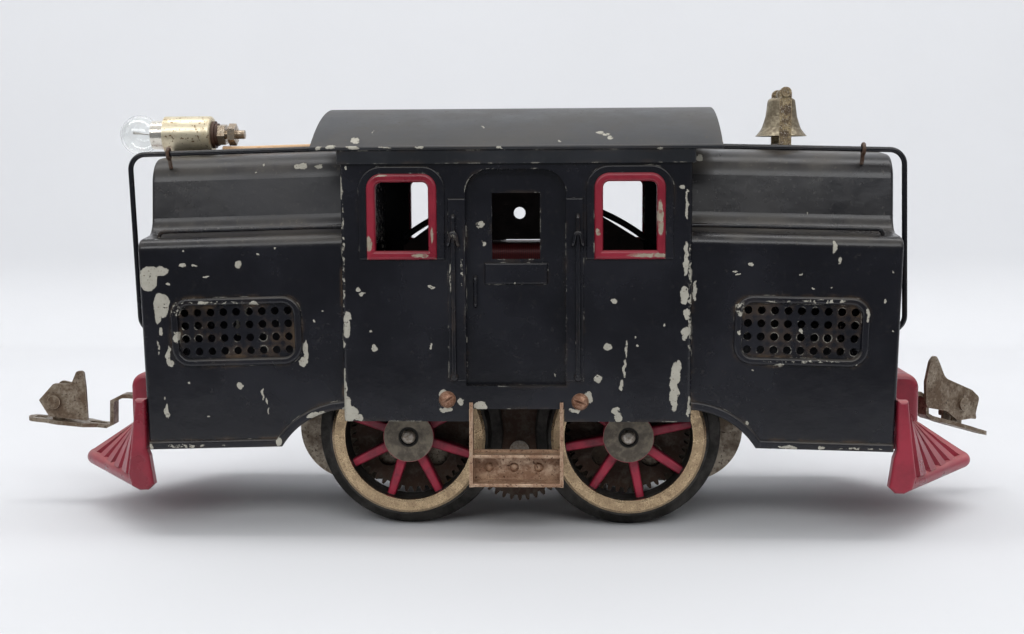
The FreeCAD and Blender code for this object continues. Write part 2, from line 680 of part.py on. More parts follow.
def make_wheel(name, side, far, quarter):
    """Spoked casting with its flange, drawn as the near wheel and turned by quarter degrees."""
    body = new_body(name)
    section = sketch_on(body, "XY_Plane", name + "_section")
    add_loop(section, [
        ("rim_inner", "-wheel_face + 0.9"), ("rim_outer - 0.2", "-wheel_face + 0.9"),
        ("rim_outer + 0.6", "-wheel_face + 1.5"), ("tread_r", "-wheel_back - 2.8"),
        ("flange_r - 0.64", "-wheel_back - 2.0"), ("flange_r - 0.64", "-wheel_back", 1.1),
        ("rim_inner", "-wheel_back")])
    revolve(body, section)
    hub = sketch_on(body, "XZ_Plane", name + "_hub", "wheel_back")
    add_circle(hub, 0, 0, "hub_r")
    pad(body, hub, "wheel_face - wheel_back - 0.6")
    spoke = sketch_on(body, "XZ_Plane", name + "_spoke", "wheel_back + 2.4")
    for k in range(8):
        angle = math.radians(27 + 45 * k)
        out, across = V(math.cos(angle), math.sin(angle), 0), V(-math.sin(angle), math.cos(angle), 0)
        inner, outer = val("hub_r") - 1.2, val("rim_inner") + 1.0
        corners = [out * inner - across * 1.55, out * outer - across * 1.25,
                   out * outer + across * 1.25, out * inner + across * 1.55]
        add_loop(spoke, [(p.x, p.y) for p in corners])
    pad(body, spoke, 4.4)
    doc.recompute()
    front = -val("wheel_back") - 6.8
    fillet(body, 0.8, lambda e: abs(e.CenterOfMass.y - front) < 0.02 and e.Length > 9
           and "Line" in str(e.Curve), name + "_spoke_edges")
    bore = sketch_on(body, "XZ_Plane", name + "_bore")
    add_circle(bore, 0, 0, "axle_r")
    pocket(body, bore, 100, both=True)
    ring = sketch_on(body, "XZ_Plane", name + "_axle_ring", "wheel_face - 1.6")
    add_circle(ring, 0, 0, "axle_r + 0.45")
    pocket(body, ring, 5, back=True)
    place_on_axle(body, side, far, quarter)
    return body


def place_on_axle(body, side, far, quarter=0):
    spin = turn(V(0, 0, 1), 180 if far else 0) * turn(V(0, 1, 0), -quarter)
    body.Placement = FreeCAD.Placement(V(side * val("half_wheelbase"), 0, val("axle_z")), spin)


def make_rim(name, side, far):
    """Bright ring pressed on the face of a wheel."""
    body = new_body(name)
    section = sketch_on(body, "XY_Plane", name + "_section")
    add_loop(section, [("rim_inner", "-wheel_face + 0.9"), ("rim_inner", "-wheel_face + 0.1"),
                       ("rim_inner + 0.7", "-wheel_face"), ("rim_outer - 1.0", "-wheel_face"),
                       ("rim_outer - 0.2", "-wheel_face + 0.9")])
    revolve(body, section)
    place_on_axle(body, side, far)
    return body


def make_axle(name, side):
    body = new_body(name)
    section = sketch_on(body, "XY_Plane", name + "_section")
    face = "(wheel_face - 0.2)"
    add_loop(section, [(0, f"-{face} - 0.5"), ("axle_r - 0.5", f"-{face} - 0.25"), ("axle_r", f"-{face} + 0.2"),
                       ("axle_r", f"{face} - 0.2"), ("axle_r - 0.5", f"{face} + 0.25"), (0, f"{face} + 0.5")])
    revolve(body, section)
    body.Placement = FreeCAD.Placement(V(side * val("half_wheelbase"), 0, val("axle_z")), FreeCAD.Rotation())
    return body


# ---------------------------------------------------------------- motor

def make_side_plates():
    for name, far in (("motor_plate_near", False), ("motor_plate_far", True)):
        body = new_body(name)
        outline = sketch_on(body, "XZ_Plane", name + "_outline", "plate_y")
        low, shoulder = "(lobe_z - lobe_r)", "(lobe_z + lobe_r)"
        add_loop(outline, [("-lobe_x", low), ("lobe_x", low), ("lobe_x", shoulder),
                           (30, shoulder), (22, 66), (-22, 66), (-30, shoulder), ("-lobe_x", shoulder)])
        pad(body, outline, "plate_t")
        lobes = sketch_on(body, "XZ_Plane", name + "_lobes", "plate_y")
        add_circle(lobes, "-lobe_x", "lobe_z", "lobe_r")
        add_circle(lobes, "lobe_x", "lobe_z", "lobe_r")
        pad(body, lobes, "plate_t")
        holes = sketch_on(body, "XZ_Plane", name + "_holes")
        for side in (-1, 1):
            add_circle(holes, f"{side} * half_wheelbase", "axle_z", "axle_r + run_gap")
            for x, z in SPACER_PLACES:
                add_circle(holes, side * x, z, 1.25)
        add_circle(holes, 0, armature_z(), 1.6 + val("run_gap"))
        if not far:
            add_circle(holes, 0, idler_z(), 1.8)
        pocket(body, holes, 100, both=True)
        if far:
            body.Placement = half_turn()


SPACER_PLACES = [(50.0, 20.0), (50.0, 38.0), (18.0, 62.5)]


def make_spacers():
    """Six turned spacers that tie the side plates together, with their ends riveted over."""
    span = 2 * val("plate_y")
    rods = []
    for side in (-1, 1):
        for x, z in SPACER_PLACES:
            at = side * x
            rod = cylinder(2.2, span, (at, -span / 2, z), (0, 1, 0))
            reach = span / 2 + val("plate_t") + 0.3
            ends = cylinder(1.2, 2 * reach, (at, -reach, z), (0, 1, 0))
            rods.append(rod.fuse(ends).removeSplitter())
    solid_feature("motor_spacers", Part.makeCompound(rods))


def make_field():
    """Laminated field core: two pole arms round the armature, joined above by the coil bar."""
    z0 = armature_z()
    core = Part.makeBox(44, 16, 49, V(-22, -8, z0 - 12.5))
    window = Part.makeBox(29, 18, 13, V(-14.5, -9, z0 + 17.5))
    bore = cylinder(14.0, 18, (0, -9, z0), (0, 1, 0))
    gap = Part.makeBox(9, 18, 34, V(-4.5, -9, z0 - 15))
    core = core.cut(window).cut(bore).cut(gap)
    tie_x, tie_z = SPACER_PLACES[-1]
    for x in (-tie_x, tie_x):
        core = core.cut(cylinder(2.25, 18, (x, -9, tie_z), (0, 1, 0)))
    solid_feature("field_core", core.removeSplitter())
    top = z0 + 36.5
    coil = Part.makeBox(27.6, 29, 18.4, V(-13.8, -14.5, top - 12.6))
    coil = coil.makeFillet(3.2, [e for e in coil.Edges if along(e, 0)])
    coil = coil.cut(Part.makeBox(40, 16.1, 6.05, V(-20, -8.05, top - 6.025)))
    solid_feature("field_coil", coil.removeSplitter())


def make_armature():
    """Three-pole armature with its shaft, windings and drum commutator."""
    z0 = armature_z()
    shaft = cylinder(1.6, 45.6, (0, -24.6, z0), (0, 1, 0))
    solid_feature("armature_shaft", shaft)
    core = cylinder(13.6, 16, (0, -8, z0), (0, 1, 0)).cut(cylinder(1.6, 18, (0, -9, z0), (0, 1, 0)))
    for k in range(3):
        angle = math.radians(30 + 120 * k)
        out, across = V(math.cos(angle), 0, math.sin(angle)), V(-math.sin(angle), 0, math.cos(angle))
        mouth = [V(0, -9, z0) + out * r + across * w for r, w in ((9, -1.6), (15, -1.6), (15, 1.6), (9, 1.6))]
        wedge = ((5, -1.5), (10.4, -7.2), (10.4, 7.2), (5, 1.5))
        slot = [V(0, -9, z0) + out * r + across * w for r, w in wedge]
        for corners in (mouth, slot):
            core = core.cut(slab(corners, (0, 1, 0), 18))
    solid_feature("armature_core", core.removeSplitter())
    coils = []
    for k in range(3):
        angle = math.radians(90 + 120 * k)
        out, across = V(math.cos(angle), 0, math.sin(angle)), V(-math.sin(angle), 0, math.cos(angle))
        section = ((4.6, -4.4), (10.1, -5.4), (10.1, 5.4), (4.6, 4.4))
        corners = [V(0, -10.5, z0) + out * r + across * w for r, w in section]
        block = slab(corners, (0, 1, 0), 21)
        block = block.makeFillet(1.2, [e for e in block.Edges if along(e, 1)])
        coils.append(block.cut(core))
    solid_feature("armature_windings", Part.makeCompound(coils))
    drum = cylinder(6.4, 3.4, (0, 11.4, z0), (0, 1, 0)).cut(cylinder(1.6, 5, (0, 10.6, z0), (0, 1, 0)))
    for k in range(3):
        angle = math.radians(30 + 120 * k)
        out, across = V(math.cos(angle), 0, math.sin(angle)), V(-math.sin(angle), 0, math.cos(angle))
        outline = ((3.4, -0.3), (7, -0.3), (7, 0.3), (3.4, 0.3))
        corners = [V(0, 11, z0) + out * r + across * w for r, w in outline]
        drum = drum.cut(slab(corners, (0, 1, 0), 5))
    solid_feature("commutator", drum.removeSplitter())


def make_brush_gear():
    """Fibre yoke inside the far plate with two brush tubes and their carbon brushes."""
    z0, back = armature_z(), val("plate_y")
    yoke = slab([(-19, back - 2.4, z0 - 6), (19, back - 2.4, z0 - 6), (19, back - 2.4, z0 + 6),
                 (-19, back - 2.4, z0 + 6)], (0, 1, 0), 2.3)
    yoke = yoke.makeFillet(3, [e for e in yoke.Edges if along(e, 1)])
    solid_feature("brush_yoke", yoke.cut(cylinder(2.4, 6, (0, back - 4, z0), (0, 1, 0))))
    tubes, brushes = [], []
    for side in (-1, 1):
        tube = cylinder(2.0, 8.4, (side * 8.2, 13.1, z0), (side, 0, 0))
        tube = tube.fuse(Part.makeBox(8.4, 2.6, 2.4, V(8.2 if side > 0 else -16.6, 13.5, z0 - 1.2)))
        tubes.append(tube.cut(cylinder(1.45, 7.2, (side * 8.0, 13.1, z0), (side, 0, 0))).removeSplitter())
        brushes.append(cylinder(1.4, 5.6, (side * 6.45, 13.1, z0), (side, 0, 0)))
    solid_feature("brush_tubes", Part.makeCompound(tubes))
    solid_feature("brushes", Part.makeCompound(brushes))


def make_terminal_board():
    """Dark fibre board that stands over the field, with sloped shoulders and a round hole."""
    body = new_body("terminal_board")
    outline = sketch_on(body, "XZ_Plane", "terminal_board_outline", -1.6)
    add_loop(outline, [(-38, 79.75), (-15, 79.75), (-15, 86.2), (15, 86.2), (15, 79.75), (39, 79.75),
                       (39, 85.2), (20, 97.0), (14.5, 106), (-14.5, 106), (-20, 97.4), (-38, 84.2)])
    pad(body, outline, 1.6)
    hole = sketch_on(body, "XZ_Plane", "terminal_board_hole")
    add_circle(hole, -0.6, 94.6, 1.9)
    pocket(body, hole, 20, both=True)


def make_mount_brackets():
    """Straps that hang the motor in the cab: along the cab side, then in over the wheels."""
    wall = val("cab_half_width - sheet_t")
    for name, far in (("mount_bracket_near", False), ("mount_bracket_far", True)):
        body = new_body(name)
        section = sketch_on(body, "YZ_Plane", name + "_section")
        t = 1.3
        add_loop(section, [(-wall, 38.8), (-wall + t, 38.8), (-wall + t, 66.1), (-17.0, 66.1), (-17.0, 66.1 + t),
                           (-wall, 66.1 + t)])
        pad(body, section, 48, both=True)
        inside = -wall + t
        fillet(body, 1.6, lambda e: along(e, 0) and near(e, y=inside, z=66.1), name + "_bend")
        window = sketch_on(body, "XZ_Plane", name + "_window")
        for x, z in SCREW_PLACES:
            add_circle(window, x, z, 1.25)
        pocket(body, window, 100, both=True)
        door_gap = sketch_on(body, "XZ_Plane", name + "_door_gap", 39.7)
        add_loop(door_gap, box_loop(-16.2, 30, 16.2, 70))
        pocket(body, door_gap, 10, back=True)
        if far:
            body.Placement = half_turn()


def make_pickups():
    """Fibre plate under the motor, two sprung arms and their rollers for the middle rail."""
    half = val("plate_y") - 0.05
    plate = Part.makeBox(52, 2 * half, 2.0, V(-26, -half, 12.6))
    plate = plate.cut(Part.makeBox(30.4, 20, 4, V(-15.2, -10, 11.6)))
    solid_feature("pickup_plate", plate.removeSplitter())
    for side, name in ((-1, "left"), (1, "right")):
        hinge = side * 10.5
        reach = 9.3
        arm = Part.makeBox(reach, 9.0, 0.7, V(min(hinge, hinge + side * reach), -4.5, 9.9))
        for y in (-5.2, 4.5):
            cheek = slab([(hinge - side * 2, y, 11.2), (hinge - side * 2, y, 8.8), (hinge + side * 12.0, y, 5.4),
                          (hinge + side * 15.5, y, 5.4), (hinge + side * 15.5, y, 9.6), (hinge + side * 12, y, 10.6)],
                         (0, 1, 0), 0.7)
            arm = arm.fuse(cheek)
        arm = arm.cut(cylinder(1.05, 20, (hinge, -10, 9.8), (0, 1, 0)))
        arm = arm.cut(cylinder(1.05, 20, (hinge + side * 13.6, -10, 7.2), (0, 1, 0)))
        solid_feature("pickup_arm_" + name, arm.removeSplitter())
        roller = cylinder(3.3, 8.2, (hinge + side * 13.6, -4.1, 7.2), (0, 1, 0))
        roller = roller.makeChamfer(0.5, [e for e in roller.Edges if "Circle" in str(e.Curve)])
        axle = cylinder(1.0, 11.2, (hinge + side * 13.6, -5.6, 7.2), (0, 1, 0))
        solid_feature("pickup_roller_" + name, roller.fuse(axle).removeSplitter())
        pin = cylinder(1.0, 14.0, (hinge, -7.0, 9.8), (0, 1, 0))
        for y in (-6.8, 5.8):
            pin = pin.fuse(Part.makeBox(2.6, 1.0, 4.0, V(hinge - 1.3, y, 8.6)))
        bridge = Part.makeBox(2.6, 20.4, 0.9, V(hinge - 1.3, -10.2, 14.6))
        posts = [Part.makeBox(2.6, 1.0, 3.0, V(hinge - 1.3, y, 12.0)) for y in (-6.8, 5.8)]
        for piece in posts + [bridge]:
            pin = pin.fuse(piece)
        solid_feature("pickup_hanger_" + name, pin.removeSplitter())


# ---------------------------------------------------------------- rails and trim

# How far each end's handrail stands out from the hood end, at its top and at its foot.
RAIL_OUT = {"left": (6.2, 5.8), "right": (2.7, 5.4)}


def make_handrails():
    """Top handrails along each hood, down the end and into the end wall; lower side rods."""
    for side_name, base in (("right", droop()), ("left", half_turn(droop()))):
        for row_name, y in (("near", -1), ("far", 1)):
            row = y if side_name == "right" else -y
            rail, radius = row * val("rail_y"), val("rail_r")
            level, end = val("hood_crown") - 0.1, val("hood_end")
            start = val("cab_half_len") + 0.1
            top_out, low_out = RAIL_OUT[side_name]
            path = [(start - 0.34, rail, level), (end + top_out, rail, level), (end + low_out, rail, 61), (end, rail, 61)]
            shape = round_wire(path, 4.5, radius)
            solid_feature(f"handrail_{row_name}_{side_name}", shape, base)
            low = row * 37.6
            path = [(start - 0.4, low, 91.9), (105.6, low, 91.9), (105.6, low, 90.1)]
            solid_feature(f"side_rod_{row_name}_{side_name}", round_wire(path, 1.6, 0.62), base)
        eyes = []
        eye_x = 105.2 if side_name == "left" else 101.6
        for row in (-1, 1):
            rail, level = row * val("rail_y"), val("hood_crown") - 0.1
            ring = Part.makeTorus(1.5, 0.55, V(eye_x, rail, level), V(1, 0, 0))
            legs = cylinder(0.6, 3.2, (eye_x, rail - row * 0.3, level - 1.4), (0, -row * 0.45, -1))
            eyes.append(ring.fuse(legs).removeSplitter())
        solid_feature("stanchions_" + side_name, Part.makeCompound(eyes), base)


def make_door_rails():
    """Upright grab rails beside each door: rod, looped upper eye and lower eye."""
    face = val("cab_half_width")
    out = face + 1.9
    for row_name, far in (("near", False), ("far", True)):
        for side_name, x in (("left", -18.0), ("right", 18.0)):
            at = -x if far else x
            foot_y = -face - 0.5
            loop = round_wire([(at - 1.5, foot_y, 86.4), (at - 1.5, -out, 86.4), (at, -out - 0.2, 93.8),
                               (at + 1.5, -out, 86.4), (at + 1.5, foot_y, 86.4)], 0.9, 0.5)
            rod = round_wire([(at, foot_y, 95.0), (at, -out + 0.3, 95.0), (at, -out + 0.3, 48.0),
                              (at, foot_y, 48.0)], 0.9, 0.62)
            foot = Part.makeSphere(1.3, V(at, -face - 0.5, 48.0))
            shape = rod.fuse(loop).fuse(foot.common(Part.makeBox(6, 4, 6, V(at - 3, -face - 4.5, 45))))
            solid_feature(f"door_rail_{row_name}_{side_name}", shape.removeSplitter(),
                          half_turn() if far else None)
        panel = face - val("door_depth")
        handle = round_wire([(-11.9, -panel, 77.0), (-11.9, -panel - 1.2, 77.0), (-11.9, -panel - 1.2, 68.6),
                             (-11.9, -panel, 68.6)], 0.8, 0.55)
        solid_feature(f"door_handle_{row_name}", handle, half_turn() if far else None)


def make_cab_screws():
    """Four slotted round-head screws through the cab side into the motor straps."""
    screws = []
    face = val("cab_half_width")
    for far in (False, True):
        for x, z in SCREW_PLACES:
            shank = cylinder(1.2, 3.4, (x, -face - 0.2, z), (0, 1, 0))
            ball = Part.makeSphere(2.75, V(x, -face + 1.1, z))
            head = ball.common(Part.makeBox(8, 3, 8, V(x - 4, -face - 3.02, z - 4)))
            slot = Part.makeBox(0.7, 2, 8, V(-0.35, -1, -4))
            slot.Placement = FreeCAD.Placement(V(x, -face - 1.75, z), turn(V(0, 1, 0), 58 if x < 0 else -70))
            screw = shank.fuse(head).cut(slot).removeSplitter()
            if far:
                screw = screw.transformGeometry(half_turn().toMatrix())
            screws.append(screw)
    solid_feature("cab_screws", Part.makeCompound(screws))


def make_steps():
    """Folded strap step under each door: two cheeks, back plate, lower and upper treads."""
    half, face = val("step_half"), val("cab_half_width")
    back = face - 3.6
    for name, far in (("near", False), ("far", True)):
        cheeks = []
        for side in (-1, 1):
            inner = side * (half - 1.0)
            corners = [(inner, -face + 0.1, 38.4), (inner, -face - 0.05, 40.6), (inner, -face - 1.0, 40.6),
                       (inner, -face - 4.0, 17.0), (inner, -face - 4.0, 16.2), (inner, -back, 16.2),
                       (inner, -back, 26.0), (inner, -face + 1.2, 38.4)]
            cheeks.append(slab(corners, (side, 0, 0), 1.0))
        width = 2 * half - 2.0
        back_plate = Part.makeBox(width, 1.0, 9.8, V(-width / 2, -back - 1.0, 16.2))
        lower = Part.makeBox(width, face + 4.0 - back, 1.0, V(-width / 2, -face - 4.0, 16.2))
        upper = Part.makeBox(width, face + 2.0 - back, 1.0, V(-width / 2, -face - 2.0, 24.3))
        lower = lower.makeFillet(0.3, [e for e in lower.Edges if along(e, 0) and e.CenterOfMass.y < -face - 3.9])
        upper = upper.makeFillet(0.3, [e for e in upper.Edges if along(e, 0) and e.CenterOfMass.y < -face - 1.9])
        step = back_plate.fuse(cheeks + [lower, upper]).removeSplitter()
        place = half_turn() if far else None
        solid_feature("step_" + name, step, place)
        rivets = []
        for x in (-8.3, -0.9, 6.4):
            ball = Part.makeSphere(1.5, V(x, -back - 1.0 + 0.5, 20.8))
            rivets.append(ball.common(Part.makeBox(4, 2, 4, V(x - 2, -back - 3.0, 18.8))))
        solid_feature("step_rivets_" + name, Part.makeCompound(rivets), place)


# ---------------------------------------------------------------- lamp and bell

def make_lamp():
    z, x = val("lamp_z"), -98.9
    back = (-1, 0, 0)
    socket = cylinder(5.9, 15.3, (x, 0, z), back)
    socket = socket.makeFillet(0.9, [e for e in socket.Edges if abs(e.CenterOfMass.x - x) < 0.02
                                     and "Circle" in str(e.Curve)])
    foot = [(-109, -2.5, crown_at(109)), (-103, -2.5, crown_at(103)), (-103, -2.5, z - 5), (-109, -2.5, z - 5)]
    socket = socket.fuse(slab(foot, (0, 1, 0), 5)).removeSplitter()
    socket = socket.cut(cylinder(5.2, 14.6, (x - 0.9, 0, z), back)).cut(cylinder(1.5, 3, (x + 1, 0, z), back))
    solid_feature("lamp_socket", socket)
    collar = cylinder(4.6, 15.6, (x - 5.4, 0, z), back)
    collar = collar.cut(cylinder(4.2, 14.2, (x - 7.2, 0, z), back)).cut(Part.makeSphere(6.33, V(-122.7, 0, z)))
    contact = cylinder(1.6, 1.4, (x - 4.0, 0, z), back)
    solid_feature("bulb_cap", collar.fuse(contact).removeSplitter())
    globe = Part.makeSphere(6.3, V(-122.7, 0, z)).fuse(cylinder(4.1, 8, (-114.0, 0, z), back))
    inner = Part.makeSphere(5.8, V(-122.7, 0, z)).fuse(cylinder(3.6, 9, (-114.6, 0, z), back))
    solid_feature("bulb_globe", globe.cut(inner).removeSplitter())
    washers = [cylinder(4.3, 0.9, (x + 0.05, 0, z), (1, 0, 0)), cylinder(3.6, 0.9, (x + 1.0, 0, z), (1, 0, 0))]
    washers = [w.cut(cylinder(1.5, 4, (x - 1, 0, z), (1, 0, 0))) for w in washers]
    solid_feature("lamp_washers", Part.makeCompound(washers))
    nuts = []
    for start, spin in ((x + 1.95, 8), (x + 5.2, 30)):
        ring = [(start, 3.55 * math.cos(math.radians(60 * k + spin)), z + 3.55 * math.sin(math.radians(60 * k + spin)))
                for k in range(6)]
        nut = slab(ring, (1, 0, 0), 2.3)
        trim = Part.makeSphere(4.05, V(start + 1.15, 0, z))
        nuts.append(nut.common(trim).cut(cylinder(1.4, 4, (start - 1, 0, z), (1, 0, 0))))
    solid_feature("lamp_nut_pair", Part.makeCompound(nuts))
    stud = cylinder(1.4, 13.4, (-102.1, 0, z), (1, 0, 0))
    head = cylinder(2.6, 1.0, (-101.4, 0, z), (1, 0, 0))
    solid_feature("lamp_stud", stud.fuse(head).removeSplitter())
    level = val("hood_crown") + 0.95
    drop = math.tan(math.radians(val("hood_droop")))
    wire = [(-95.6, -0.5, z - 4.45)]
    wire += [(px, -3.0, level - drop * (-px - val("cab_half_len")) + 0.35) for px in (-88.0, -76.0, -58.0)]
    wire += [(-53.5, -3.0, level + 0.5), (-53.5, -3.0, level - 6.0)]
    solid_feature("lamp_wire", round_wire(wire, 1.6, 0.8))


def make_bell():
    x, z = val("bell_x"), val("bell_pivot_z")
    tail, front = x - 7.4, x + 5.0
    base = slab([(tail, -4.5, crown_at(tail)), (front, -4.5, crown_at(front)), (front, -4.5, 115.2),
                 (tail, -4.5, 115.2)], (0, 1, 0), 9.0)
    solid_feature("bell_base", base)
    outer = Part.makeBox(3.7, 18.4, 21, V(x - 1.85, -9.2, 115.25))
    bow = outer.cut(Part.makeBox(5, 16.8, 30, V(x - 2.5, -8.4, 116.05)))
    ends = Part.makeBox(3.7, 30, 16.15, V(x - 1.85, -15, 115.25)).fuse(cylinder(1.85, 30, (x, -15, z), (0, 1, 0)))
    bow = bow.common(ends).cut(cylinder(0.75, 30, (x, -15, z), (0, 1, 0))).removeSplitter()
    solid_feature("bell_bow", bow)
    pin = cylinder(0.72, 19.2, (x, -9.6, z), (0, 1, 0))
    for y in (-10.1, 9.25):
        pin = pin.fuse(cylinder(1.25, 0.85, (x, y, z), (0, 1, 0)))
    solid_feature("bell_pin", pin.removeSplitter())
    body = new_body("bell_shell")
    profile = sketch_on(body, "XZ_Plane", "bell_section")
    add_loop(profile, [
        (0, 130.2), (3.2, 130.2), (4.3, 129.2, -1.3), (4.9, 124.5), (6.0, 121.0), (8.0, 118.4, 12),
        (7.3, 118.4), (5.3, 121.0, -12), (4.2, 124.5), (3.6, 128.4), (0, 128.9)])
    revolve(body, profile)
    body.Placement = FreeCAD.Placement(V(x, 0, 0), FreeCAD.Rotation())
    loop = cylinder(1.5, 2.6, (x, -1.3, z), (0, 1, 0)).cut(cylinder(0.78, 6, (x, -3, z), (0, 1, 0)))
    neck = Part.makeBox(1.6, 1.6, 1.2, V(x - 0.8, -0.8, 129.6)).cut(cylinder(0.78, 6, (x, -3, z), (0, 1, 0)))
    eye = cylinder(0.95, 0.6, (x, -0.3, 127.4), (0, 1, 0)).cut(cylinder(0.5, 4, (x, -2, 127.4), (0, 1, 0)))
    hanger = Part.makeBox(0.9, 0.6, 1.2, V(x - 0.45, -0.3, 128.0))
    solid_feature("bell_crown", loop.fuse([neck, eye, hanger]).removeSplitter())
    bell = doc.addObject("Part::MultiFuse", "bell")
    bell.Label = "bell"
    bell.Shapes = [PIECES.pop("bell_shell"), PIECES.pop("bell_crown")]
    PIECES["bell"] = bell
    ball = Part.makeSphere(1.4, V(x, 0, 119.3)).fuse(cylinder(0.4, 5.9, (x, 0, 119.8), (0, 0, 1)))
    hook = Part.makeTorus(0.85, 0.2, V(x, 0, 126.55), V(1, 0, 0))
    solid_feature("bell_clapper", ball.fuse(hook).removeSplitter())


# ---------------------------------------------------------------- pilots and couplers

def pilot_rib(u, top_half, foot_half, depth, lift):
    """Ruled rib or panel of the apron between two places along its width (u from nose to post)."""
    nose, top_z = val("pilot_nose"), val("pilot_top")

    def at(place, low):
        if low:
            return V(nose - 1.6 - (nose - 115.5) * place, 42 * place, 16.6)
        return V(117.2 - 3.4 * place, 40 * place, top_z + 7 * place)

    rings = []
    for low, half in ((False, top_half), (True, foot_half)):
        a, b = at(max(u - half, 0), low), at(min(u + half, 1), low)
        out = V(lift, 0, lift * 0.6)
        rings.append(Part.makePolygon([a + out, b + out, b - V(depth, 0, 0), a - V(depth, 0, 0), a + out]))
    return Part.makeLoft(rings, True, True)


def make_pilot(name, placement):
    """Cast pilot: ribbed apron over a V rail, end posts with feet, arch over the coupler."""
    back, nose = 110.45, val("pilot_nose")
    pieces = []
    for row in (-1, 1):
        flip = FreeCAD.Matrix(1, 0, 0, 0, 0, row, 0, 0, 0, 0, 1, 0, 0, 0, 0, 1)
        half = [pilot_rib(0.5, 0.5, 0.5, 1.6, 0.0)]
        for u in (0.09, 0.28, 0.46, 0.64, 0.82):
            half.append(pilot_rib(u, 0.028, 0.05, 1.0, 1.5))
        for piece in half:
            pieces.append(piece.transformGeometry(flip) if row < 0 else piece)
        post = [(back, 41), (113.4, 41), (115.0, 27), (116.2, 18.6), (115.2, 14.9), (112.8, 13.6), (110.2, 13.7),
                (108.4, 15.4), (108.9, 18.8), (109.6, 24), (back, 26.2)]
        y0 = 39.8 if row > 0 else -43.4
        block = slab([(px, y0, pz) for px, pz in post], (0, 1, 0), 3.6)
        pieces.append(block.makeFillet(1.1, [e for e in block.Edges if abs(e.CenterOfMass.y - row * 43.4) < 0.02]))
    rail = round_wire([(112.5, -41.4, 15.6), (nose + 0.4, 0, 15.6), (112.5, 41.4, 15.6)], 9, 2.1)
    pieces.append(rail)
    tie = Part.makeBox(3.2, 80, 2.6, V(back, -40, 36.8))
    tie = tie.cut(Part.makeBox(20, 30, 3.4, V(105, -15, 35.2)))
    arch = Part.makeBox(12.0, 38, 14.6, V(back, -19, 30.8))
    arch = arch.makeFillet(4.4, [e for e in arch.Edges if along(e, 1)
                                 and abs(e.CenterOfMass.x - back - 12.0) < 0.02 and e.CenterOfMass.z > 40])
    arch = arch.makeFillet(2.0, [e for e in arch.Edges if along(e, 0) and e.CenterOfMass.z > 40])
    arch = arch.cut(Part.makeBox(20, 30, 4.7, V(105, -15, 33.4))).cut(Part.makeBox(8, 30, 8, V(105.6, -15, 35.2)))
    pieces += [tie, arch]
    casting = pieces[0].fuse(pieces[1:]).removeSplitter()
    slot = Part.makeBox(20, 30, 4.7, V(105, -15, 33.4))
    hole = cylinder(1.55, 20, (val("hook_pivot_x"), 0, 20.5), (0, 0, 1))
    seat = cylinder(2.75, 2.0, (val("hook_pivot_x"), 0, 28.85), (0, 0, 1))
    trim = Part.makeBox(60, 100, 60, V(back - 60, -50, 27))
    casting = casting.cut(slot).cut(hole).cut(seat).cut(trim)
    solid_feature(name, casting.removeSplitter(), placement)


def coupler_frame(swing, left):
    """Placement of a coupler drawn about its own pivot: swung sideways, then put on its end."""
    pivot = V(val("hook_pivot_x"), 0, val("hook_pivot_z"))
    place = FreeCAD.Placement(pivot, turn(V(0, 0, 1), swing))
    return half_turn(place) if left else place


# Coupler side views about the pivot: the strip's centre line, then the latch and its short cheek as
# corners with their radii, the web between them and the rivet.
COUPLER_SHAPES = {
    "left": {
        "line": [(-4.0, 0.0), (15.5, 0.0), (18.9, -1.6), (19.2, -9.2), (21.0, -9.9), (47.4, -7.4)],
        "latch": [(26.6, -7.8, 0.6), (26.9, 3.0, 3.0), (27.4, 8.7, 1.1), (29.8, 8.5, 1.1), (31.7, 4.2, 1.6),
                  (37.5, 4.5, 1.6), (42.6, -1.0, 0.5), (39.4, -6.4, 1.2), (32.3, -7.2, 2.0)],
        "cheek": [(32.4, -7.0, 0.5), (33.4, 3.6, 1.0), (37.5, 4.5, 1.6), (42.6, -1.0, 0.5), (39.4, -6.4, 1.2)],
        "web": [(42.2, -1.2), (41.0, -3.7)],
        "rivet": (37.4, -1.6),
    },
    "right": {
        "line": [(-4.0, 0.0), (14.8, 0.0), (17.6, -1.6), (18.0, -7.0), (20.0, -8.3), (47.4, -16.4)],
        "latch": [(15.8, -4.4, 2.0), (15.4, 4.0, 3.0), (17.2, 10.6, 1.4), (19.4, 12.8, 1.2), (21.2, 10.2, 2.0),
                  (24.2, 4.6, 5.0), (37.0, -0.4, 3.5), (40.6, -3.2, 1.6), (39.0, -8.4, 1.2), (39.4, -10.4, 0.5),
                  (36.6, -10.0, 0.8), (30.6, -10.1, 2.0), (25.2, -6.4, 3.0)],
        "cheek": [(30.0, -9.4, 0.8), (30.6, 1.4, 1.0), (37.0, -0.4, 3.5), (40.6, -3.2, 1.6), (39.0, -8.4, 1.2),
                  (35.0, -9.6, 0.8)],
        "web": [(40.0, -4.0), (39.1, -7.4)],
        "rivet": (32.6, -4.6),
    },
}


